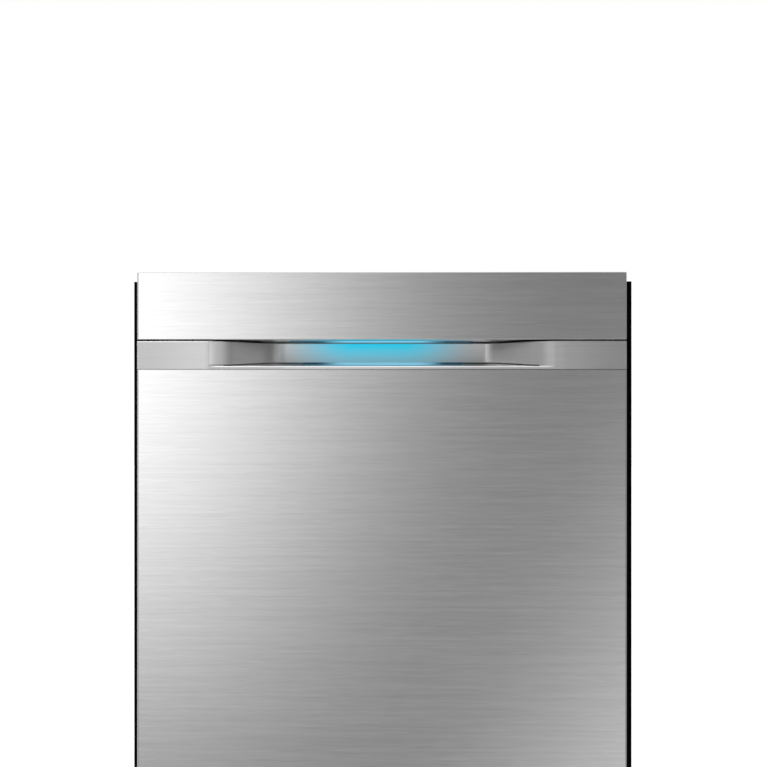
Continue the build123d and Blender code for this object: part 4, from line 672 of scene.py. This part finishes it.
def make_lower_rack():
    """Lower rack: wires, fixed tine rows, and a clip with its axle for each wheel."""
    routes = basket_routes(LOWER_X, LOWER_Z, LOWER_RIM, across=9, along=10, loops=LOWER_LOOPS)
    for x in FIXED_TINES_X:
        routes += tine_routes(x, half_y=190.0, count=11, low_z=LOWER_Z + TINE_LIFT, height=82.0)
    wire_piece("lower_rack_wires", "lower_rack", "rack_coating", routes, ["lower_rack"])
    prisms = []
    for y in WHEEL_YS:
        clip = [(y - CLIP_HALF, CLIP_TOP_Z), (y - CLIP_HALF, CLIP_SHOULDER_Z)]
        clip += [(y - CLIP_FOOT_HALF, CLIP_LOW_Z), (y + CLIP_FOOT_HALF, CLIP_LOW_Z)]
        clip += [(y + CLIP_HALF, CLIP_SHOULDER_Z), (y + CLIP_HALF, CLIP_TOP_Z)]
        for x in both_sides(*CLIP_X):
            prisms.append((clip, 0, *x))
        for x in both_sides(*AXLE_X):
            prisms.append((ring((y, WHEEL_Z), AXLE_R), 0, *x))
    solid_piece("lower_rack_clips", "lower_rack", "rack_coating", prisms, 1.2, ["lower_rack"])


def make_folding_tines():
    """The lower rack's tine row that folds flat."""
    low_z = LOWER_Z + FOLDING_TINE_LIFT
    routes = tine_routes(FOLDING_TINES_X, half_y=190.0, count=11, low_z=low_z, height=82.0)
    wire_piece("folding_tine_wires", "folding_tines", "rack_coating", routes, ["folding_tines"])


def make_upper_rack():
    """Upper rack: wires, tine rows, side runners and the duct under its floor."""
    routes = basket_routes(UPPER_X, UPPER_Z, UPPER_RIM, across=9, along=10, loops=UPPER_LOOPS)
    for x in UPPER_TINES_X:
        routes += tine_routes(x, half_y=195.0, count=10, low_z=UPPER_Z + TINE_LIFT, height=55.0)
    wire_piece("upper_rack_wires", "upper_rack", "rack_coating", routes, ["upper_rack"])
    prisms = []
    for x in both_sides(*UPPER_RUNNER_X):
        prisms.append((rounded_box(RUNNER_Y, UPPER_RUNNER_Z, UPPER_RUNNER_ROUND), 0, *x))
    prisms.append((rounded_box(DUCT_X, DUCT_Z, DUCT_ROUND), 1, *DUCT_Y))
    prisms.append((ring((0, SPOUT_Y), SPOUT_R), 2, *SPOUT_Z))
    solid_piece("upper_rack_duct", "upper_rack", "rack_coating", prisms, 0.8, ["upper_rack"])


def make_cup_shelf():
    """Folding shelf of crossed wires, with a rim and the rod that it turns on."""
    (low_x, high_x), (near, far), z = SHELF_X, SHELF_Y, SHELF_Z
    routes = []
    for y in spaced(near, far, SHELF_WIRES):
        routes.append(([(low_x, y, z), (high_x, y, z)], SHELF_R, False))
    for x in spaced(low_x + SHELF_INSET, high_x - SHELF_INSET, SHELF_CROSS_WIRES):
        routes.append(([(x, near - 1, z + SHELF_R), (x, far + 1, z + SHELF_R)], SHELF_R, False))
    corners = [(low_x, near, z), (high_x, near, z), (high_x, far, z), (low_x, far, z)]
    routes.append((rounded_route(corners, SHELF_BEND, True), SHELF_RIM_R, True))
    routes.append(([(high_x, near - 2, z), (high_x, far + 2, z)], SHELF_ROD_R, False))
    wire_piece("cup_shelf_wires", "cup_shelf", "rack_coating", routes, ["cup_shelf"])


def make_tray():
    """Top cutlery tray: a close grid of thin wires and its side runners."""
    routes = basket_routes(TRAY_X, TRAY_Z, TRAY_RIM, across=25, along=13, loops=(), wire=TRAY_WIRE_R)
    wire_piece("third_rack_wires", "third_rack", "rack_coating", routes, ["third_rack"])
    prisms = []
    for x in both_sides(*TRAY_RUNNER_X):
        prisms.append((rounded_box(RUNNER_Y, TRAY_RUNNER_Z, TRAY_RUNNER_ROUND), 0, *x))
    solid_piece("third_rack_runners", "third_rack", "rack_coating", prisms, 0.6, ["third_rack"])


# Drain hose
HOSE_OUTER_R, HOSE_GROOVE = 8.95, 1.3
HOSE_PITCH, HOSE_STEP = 5.0, 1.0
HOSE_CUFF = 22.0
HOSE_UP_X, HOSE_DOWN_X = -124.0, -214.0
HOSE_START_Y, HOSE_REAR_Y = 58.0, 303.5
HOSE_LOW_Z, HOSE_TOP_Z, HOSE_END_Z = 85.0, 660.0, 140.0
HOSE_LOW_BEND, HOSE_TOP_BEND, HOSE_BEND_STEPS = 60.0, 44.0, 12
COLLAR_R, COLLAR_LONG = 9.0, 6.0
STUB_R, STUB_LONG = 8.0, 30.0


def even_points(points, step):
    """The same route as points a step apart, each with its distance from the start."""
    spots = []
    passed, wanted = 0.0, 0.0
    for here, there in zip(points, points[1:]):
        length = (there - here).length
        while length and wanted <= passed + length:
            spots.append((here.lerp(there, (wanted - passed) / length), wanted))
            wanted += step
        passed += length
    return spots, passed


def make_drain_hose():
    """Ribbed drain hose with a smooth cuff at both ends, and its connector."""
    corners = [(HOSE_UP_X, HOSE_START_Y, HOSE_LOW_Z), (HOSE_UP_X, HOSE_REAR_Y, HOSE_LOW_Z)]
    corners += [(HOSE_UP_X, HOSE_REAR_Y, HOSE_TOP_Z), (HOSE_DOWN_X, HOSE_REAR_Y, HOSE_TOP_Z)]
    corners += [(HOSE_DOWN_X, HOSE_REAR_Y, HOSE_END_Z)]
    bends = rounded_route(corners[:3], HOSE_LOW_BEND, steps=HOSE_BEND_STEPS)[:-1]
    bends += rounded_route(corners[1:], HOSE_TOP_BEND, steps=HOSE_BEND_STEPS)[1:]
    spots, length = even_points(bends, HOSE_STEP)
    radii = []
    for _, along in spots:
        ribbed = min(1.0, max(0.0, min(along, length - along) - HOSE_CUFF) / HOSE_PITCH)
        wave = 0.5 - 0.5 * cos(2 * pi * along / HOSE_PITCH)
        radii.append(HOSE_OUTER_R - HOSE_GROOVE * ribbed * wave)
    routes = [([point for point, _ in spots], tuple(radii), False)]
    for radius, long in ((COLLAR_R, COLLAR_LONG), (STUB_R, STUB_LONG)):
        ends = [(HOSE_DOWN_X, HOSE_REAR_Y, z) for z in (HOSE_END_Z, HOSE_END_Z - long)]
        routes.append((ends, radius, False))
    wire_piece("drain_hose_ribbed", "cabinet", "hose_plastic", routes, ["drain_hose"])


# Seals at both ends of the joint between fascia and handle band: X, behind the door's front, and Z
SEAL_X, SEAL_BEHIND, SEAL_Z = (281.0, 293.8), (2.5, 15.0), (774.5, 782.5)
SEAL_ROUND, SEAL_BEVEL = 1.5, 0.4


def make_joint_seals():
    """Soft strips behind both ends of the joint between the door's fascia and its handle band."""
    seal_y = tuple(FRONT_Y / MM + behind for behind in SEAL_BEHIND)
    prisms = [(rounded_box(x, seal_y, SEAL_ROUND), 2, *SEAL_Z) for x in both_sides(*SEAL_X)]
    solid_piece("joint_seals", "door", "rubber", prisms, SEAL_BEVEL)


# Felt: spacing of the meshes' points, rounding of their edges, and waves as (cells per millimetre, height)
FELT_STEP = 14.0
FELT_EDGE_STEPS, FELT_EDGE_CLEAR = (0.0, 0.6, 1.8), 4.0
FELT_ROUND, FELT_RIM = 3.5, 0.12
FELT_WAVES = ((0.011, 0.5), (0.05, 0.22))
FELT_SINK = 0.8
WRAP_HALF, WRAP_TOP, WRAP_LOW, WRAP_BEND = 277.2, 837.2, 175.0, 25.0
WRAP_BEND_STEPS, WRAP_TOP_COUNT = 8, 34
WRAP_Y, WRAP_THICK = (-215.0, 284.6), 7.2
REAR_Y, REAR_SPARE = 289.0, 3.5
DOOR_PAD_X, DOOR_PAD_Z, DOOR_PAD_Y = (-268.0, 268.0), (150.0, 728.0), -305.6
DOOR_PAD_THICK, DOOR_PAD_ROUND = 7.0, 6.0


def felt_side(mesh, spots, sign, thick):
    """Points of one side of a mat: crowned, thin along its edges and a little wavy outside."""
    side = []
    for row in spots:
        line = []
        for point, normal, edge in row:
            swell = sqrt(max(0.0, 1 - max(0.0, 1 - edge / FELT_ROUND) ** 2))
            wave = sum(noise_at(Vector(point) * scale) * size for scale, size in FELT_WAVES)
            level = sign * thick / 2 * max(swell, FELT_RIM)
            level += (wave - FELT_SINK) * swell if sign > 0 else 0.0
            line.append(mesh.verts.new((Vector(point) + Vector(normal) * level) * MM))
        side.append(line)
    return side


def felt_piece(name, body, spots, thick, replaced):
    """Felt mat from rows of (point, normal, distance to the nearest edge), in millimetres."""
    mesh = bmesh.new()
    sides = [felt_side(mesh, spots, sign, thick) for sign in (1, -1)]
    rows, columns = len(spots), len(spots[0])
    for side in sides:
        for i in range(rows - 1):
            for j in range(columns - 1):
                mesh.faces.new([side[i][j], side[i][j + 1], side[i + 1][j + 1], side[i + 1][j]])
    rim = [(0, j) for j in range(columns)] + [(i, columns - 1) for i in range(1, rows)]
    rim += [(rows - 1, j) for j in reversed(range(columns - 1))]
    rim += [(i, 0) for i in reversed(range(1, rows - 1))]
    for here, there in zip(rim, rim[1:] + rim[:1]):
        around = ((0, here), (0, there), (1, there), (1, here))
        mesh.faces.new([sides[side][i][j] for side, (i, j) in around])
    bmesh.ops.recalc_face_normals(mesh, faces=mesh.faces)
    data = bpy.data.meshes.new(name)
    mesh.to_mesh(data)
    mesh.free()
    data.shade_smooth()
    piece = finish_piece(link_piece(name, data), body, "felt", replaced)


def edge_samples(low, high):
    """Values from low to high, closer together beside both ends."""
    count = max(2, int((high - low) / FELT_STEP))
    inner = spaced(low + FELT_EDGE_CLEAR, high - FELT_EDGE_CLEAR, count)
    ends = [high - step for step in reversed(FELT_EDGE_STEPS)]
    return [low + step for step in FELT_EDGE_STEPS] + inner + ends


def wrap_path():
    """Places and outward directions in X and Z: up the left side, over the top, down the right side."""
    straight_x, straight_z = WRAP_HALF - WRAP_BEND, WRAP_TOP - WRAP_BEND
    heights = edge_samples(WRAP_LOW, straight_z)[:-len(FELT_EDGE_STEPS)]
    path = [((-WRAP_HALF, z), (-1.0, 0.0)) for z in heights]
    for corner_x, first in ((-straight_x, 180), (straight_x, 90)):
        for step in range(WRAP_BEND_STEPS + 1):
            angle = (first - 90 * step / WRAP_BEND_STEPS) * pi / 180
            way = (cos(angle), sin(angle))
            path.append(((corner_x + WRAP_BEND * way[0], straight_z + WRAP_BEND * way[1]), way))
        if corner_x < 0:
            flat = spaced(FELT_STEP - straight_x, straight_x - FELT_STEP, WRAP_TOP_COUNT)
            path += [((x, WRAP_TOP), (0.0, 1.0)) for x in flat]
    return path + [((WRAP_HALF, z), (1.0, 0.0)) for z in reversed(heights)]


def wrap_spots():
    """The wrap over the tub's sides and top, as felt_piece takes it."""
    front, rear = WRAP_Y
    rows = []
    for (x, z), (normal_x, normal_z) in wrap_path():
        row = []
        for y in edge_samples(front, rear):
            row.append(((x, y, z), (normal_x, 0.0, normal_z), min(y - front, rear - y, z - WRAP_LOW)))
        rows.append(row)
    return rows


def flat_spots(x_limits, z_limits, y, top_round):
    """Upright flat mat with rounded top corners, as felt_piece takes it."""
    rows = []
    for z in edge_samples(*z_limits):
        row = []
        for x in edge_samples(*x_limits):
            edge = min(x - x_limits[0], x_limits[1] - x, z - z_limits[0], z_limits[1] - z)
            past_x = max(0.0, abs(x) - x_limits[1] + top_round)
            past_z = max(0.0, z - z_limits[1] + top_round)
            pull = max(past_x, past_z) / max(1.0, sqrt(past_x ** 2 + past_z ** 2))
            inward = (1 - pull) if past_x and past_z else 0.0
            point = (x - inward * past_x * (1 if x > 0 else -1), y, z - inward * past_z)
            row.append((point, (0.0, 1.0, 0.0), edge))
        rows.append(row)
    return rows


def make_felt():
    """Sound blanket round the tub: a wrap over the sides and top, a rear mat, and a door mat."""
    felt_piece("sound_blanket_wrap", "cabinet", wrap_spots(), WRAP_THICK, ["sound_blanket"])
    rear_x = (-WRAP_HALF - REAR_SPARE, WRAP_HALF + REAR_SPARE)
    spots = flat_spots(rear_x, (WRAP_LOW, WRAP_TOP + REAR_SPARE), REAR_Y, WRAP_BEND + REAR_SPARE)
    felt_piece("sound_blanket_rear", "cabinet", spots, WRAP_THICK, ["sound_blanket"])
    spots = flat_spots(DOOR_PAD_X, DOOR_PAD_Z, DOOR_PAD_Y, DOOR_PAD_ROUND)
    felt_piece("door_pad", "door", spots, DOOR_PAD_THICK, ["door_insulation"])


make_lower_rack()
make_folding_tines()
make_upper_rack()
make_cup_shelf()
make_tray()
make_drain_hose()
make_joint_seals()
make_felt()


# Stage
FLOOR_SIZE = 40.0
FLOOR_TONE, FLOOR_ROUGH, FLOOR_LIFT = (0.86, 0.86, 0.86, 1), 0.9, 0.42


def make_floor():
    """Pale floor that stays white to the camera and keeps the object's shadow."""
    bpy.ops.mesh.primitive_plane_add(size=FLOOR_SIZE)
    floor = bpy.context.object
    floor.name = "floor"
    mat, tree, bsdf = new_material("floor")
    bsdf.inputs["Roughness"].default_value = FLOOR_ROUGH
    bsdf.inputs["Base Color"].default_value = FLOOR_TONE
    seen = add(tree, "ShaderNodeLightPath").outputs["Is Camera Ray"]
    feed(mat, "Emission Strength", math(tree, "MULTIPLY", seen, FLOOR_LIFT))
    bsdf.inputs["Emission Color"].default_value = (1, 1, 1, 1)
    floor.data.materials.append(mat)
    floor.visible_glossy = False


# The studio as brushed metal mirrors it: a direction's parts U along X, V along Y and W along Z, and
# light levels
PANEL_U, PANEL_W = -0.155, 0.031
PANEL_HALF_U, PANEL_HALF_W = 0.095, 0.123
PANEL_LEVEL = 2.39
LIFT_SLOPE, LIFT_START, LIFT_WIDTH = 2.0, 0.1115, 0.20
LIFT_END_U, LIFT_LEVEL = (0.10, 0.20), 0.86
SIDE_U, SIDE_LEVEL = (0.40, 0.60), 0.13
BASE_LEVEL = 0.20
FACING_V = (-0.45, -0.15)
AROUND_U, AROUND_LEVELS = (-0.20, 0.16), (0.95, 0.38)
OVERHEAD_W, OVERHEAD_LEVEL = (0.25, 0.65), 1.10
UNDER_W, UNDER_SHARE = (-0.65, -0.35), 1.15

# Light that everything else gets, and what the camera sees
ROOM_LEVEL, SEEN_LEVEL = 0.80, 1.0


def studio_front(tree, x, z):
    """Level in front of the door: a bright panel at the upper left, a lift at the lower right, both sides."""
    across = math(tree, "DIVIDE", math(tree, "SUBTRACT", x, PANEL_U), PANEL_HALF_U)
    above = math(tree, "DIVIDE", math(tree, "SUBTRACT", z, PANEL_W), PANEL_HALF_W)
    reach = math(tree, "ADD", math(tree, "MULTIPLY", across, across), math(tree, "MULTIPLY", above, above))
    fading = math(tree, "EXPONENT", math(tree, "MULTIPLY", reach, -1.0))
    panel = math(tree, "MULTIPLY", fading, PANEL_LEVEL)
    slant = math(tree, "SUBTRACT", math(tree, "MULTIPLY", x, LIFT_SLOPE), z)
    lift = remap(tree, slant, LIFT_START, LIFT_START + LIFT_WIDTH, 0.0, LIFT_LEVEL, smooth=True)
    lift = math(tree, "MULTIPLY", lift, remap(tree, x, *LIFT_END_U, 1.0, 0.0, smooth=True))
    side = remap(tree, math(tree, "ABSOLUTE", x), *SIDE_U, 0.0, SIDE_LEVEL, smooth=True)
    return combine(tree, "ADD", panel, lift, side, BASE_LEVEL)


def make_world():
    """Soft studio: white to the camera, even light for most surfaces, and a built studio for metal."""
    world = bpy.data.worlds.new("studio")
    bpy.context.scene.world = world
    world.use_nodes = True
    tree = world.node_tree
    direction = add(tree, "ShaderNodeTexCoord").outputs["Generated"]
    x, y, z = add(tree, "ShaderNodeSeparateXYZ", {0: direction}).outputs
    around = remap(tree, x, *AROUND_U, *AROUND_LEVELS, smooth=True)
    facing = remap(tree, y, *FACING_V, 1.0, 0.0, smooth=True)
    level = mix_values(tree, facing, around, studio_front(tree, x, z))
    overhead = remap(tree, z, *OVERHEAD_W, smooth=True)
    level = mix_values(tree, overhead, level, OVERHEAD_LEVEL)
    under = remap(tree, z, *UNDER_W, 1.0, 0.0, smooth=True)
    level = mix_values(tree, under, level, math(tree, "MULTIPLY", around, UNDER_SHARE))
    path = add(tree, "ShaderNodeLightPath").outputs
    level = mix_values(tree, path["Is Glossy Ray"], ROOM_LEVEL, level)
    seen = math(tree, "MAXIMUM", path["Is Camera Ray"], path["Is Transmission Ray"])
    background = tree.nodes["Background"]
    tree.links.new(mix_values(tree, seen, level, SEEN_LEVEL), background.inputs["Strength"])
    background.inputs["Color"].default_value = (1, 1, 1, 1)


def make_lamp(name, place, target, size, energy):
    """Square soft lamp."""
    data = bpy.data.lights.new(name, "AREA")
    data.size = size
    data.energy = energy
    lamp = bpy.data.objects.new(name, data)
    bpy.context.collection.objects.link(lamp)
    lamp.location = place
    lamp.rotation_euler = (Vector(target) - Vector(place)).to_track_quat("-Z", "Y").to_euler()


def make_camera():
    """Level camera a little right of the door's middle, turned back towards it."""
    data = bpy.data.cameras.new("camera")
    camera = bpy.data.objects.new("camera", data)
    bpy.context.collection.objects.link(camera)
    centre_x = (FRAME_PX / 2 - DOOR_CENTRE_PX) * PX
    yaw = atan2(CAMERA_X - centre_x, CAMERA_DISTANCE)
    camera.location = (CAMERA_X, FRONT_Y - CAMERA_DISTANCE, CAMERA_Z)
    camera.rotation_euler = (pi / 2, 0, yaw)
    data.sensor_width = SENSOR_MM
    slant = sqrt(CAMERA_DISTANCE ** 2 + (CAMERA_X - centre_x) ** 2)
    data.lens = SENSOR_MM * slant / (FRAME_PX * PX)
    data.clip_end = VIEW_DEPTH
    bpy.context.scene.camera = camera


make_floor()
make_world()
make_lamp("key", place=(-2.6, -3.4, 3.2), target=(0, 0, 0.5), size=2.5, energy=60)
make_lamp("fill", place=(3.0, -1.5, 2.4), target=(0, 0, 0.4), size=2.5, energy=25)
make_camera()
bpy.context.scene.view_settings.view_transform = "Standard"
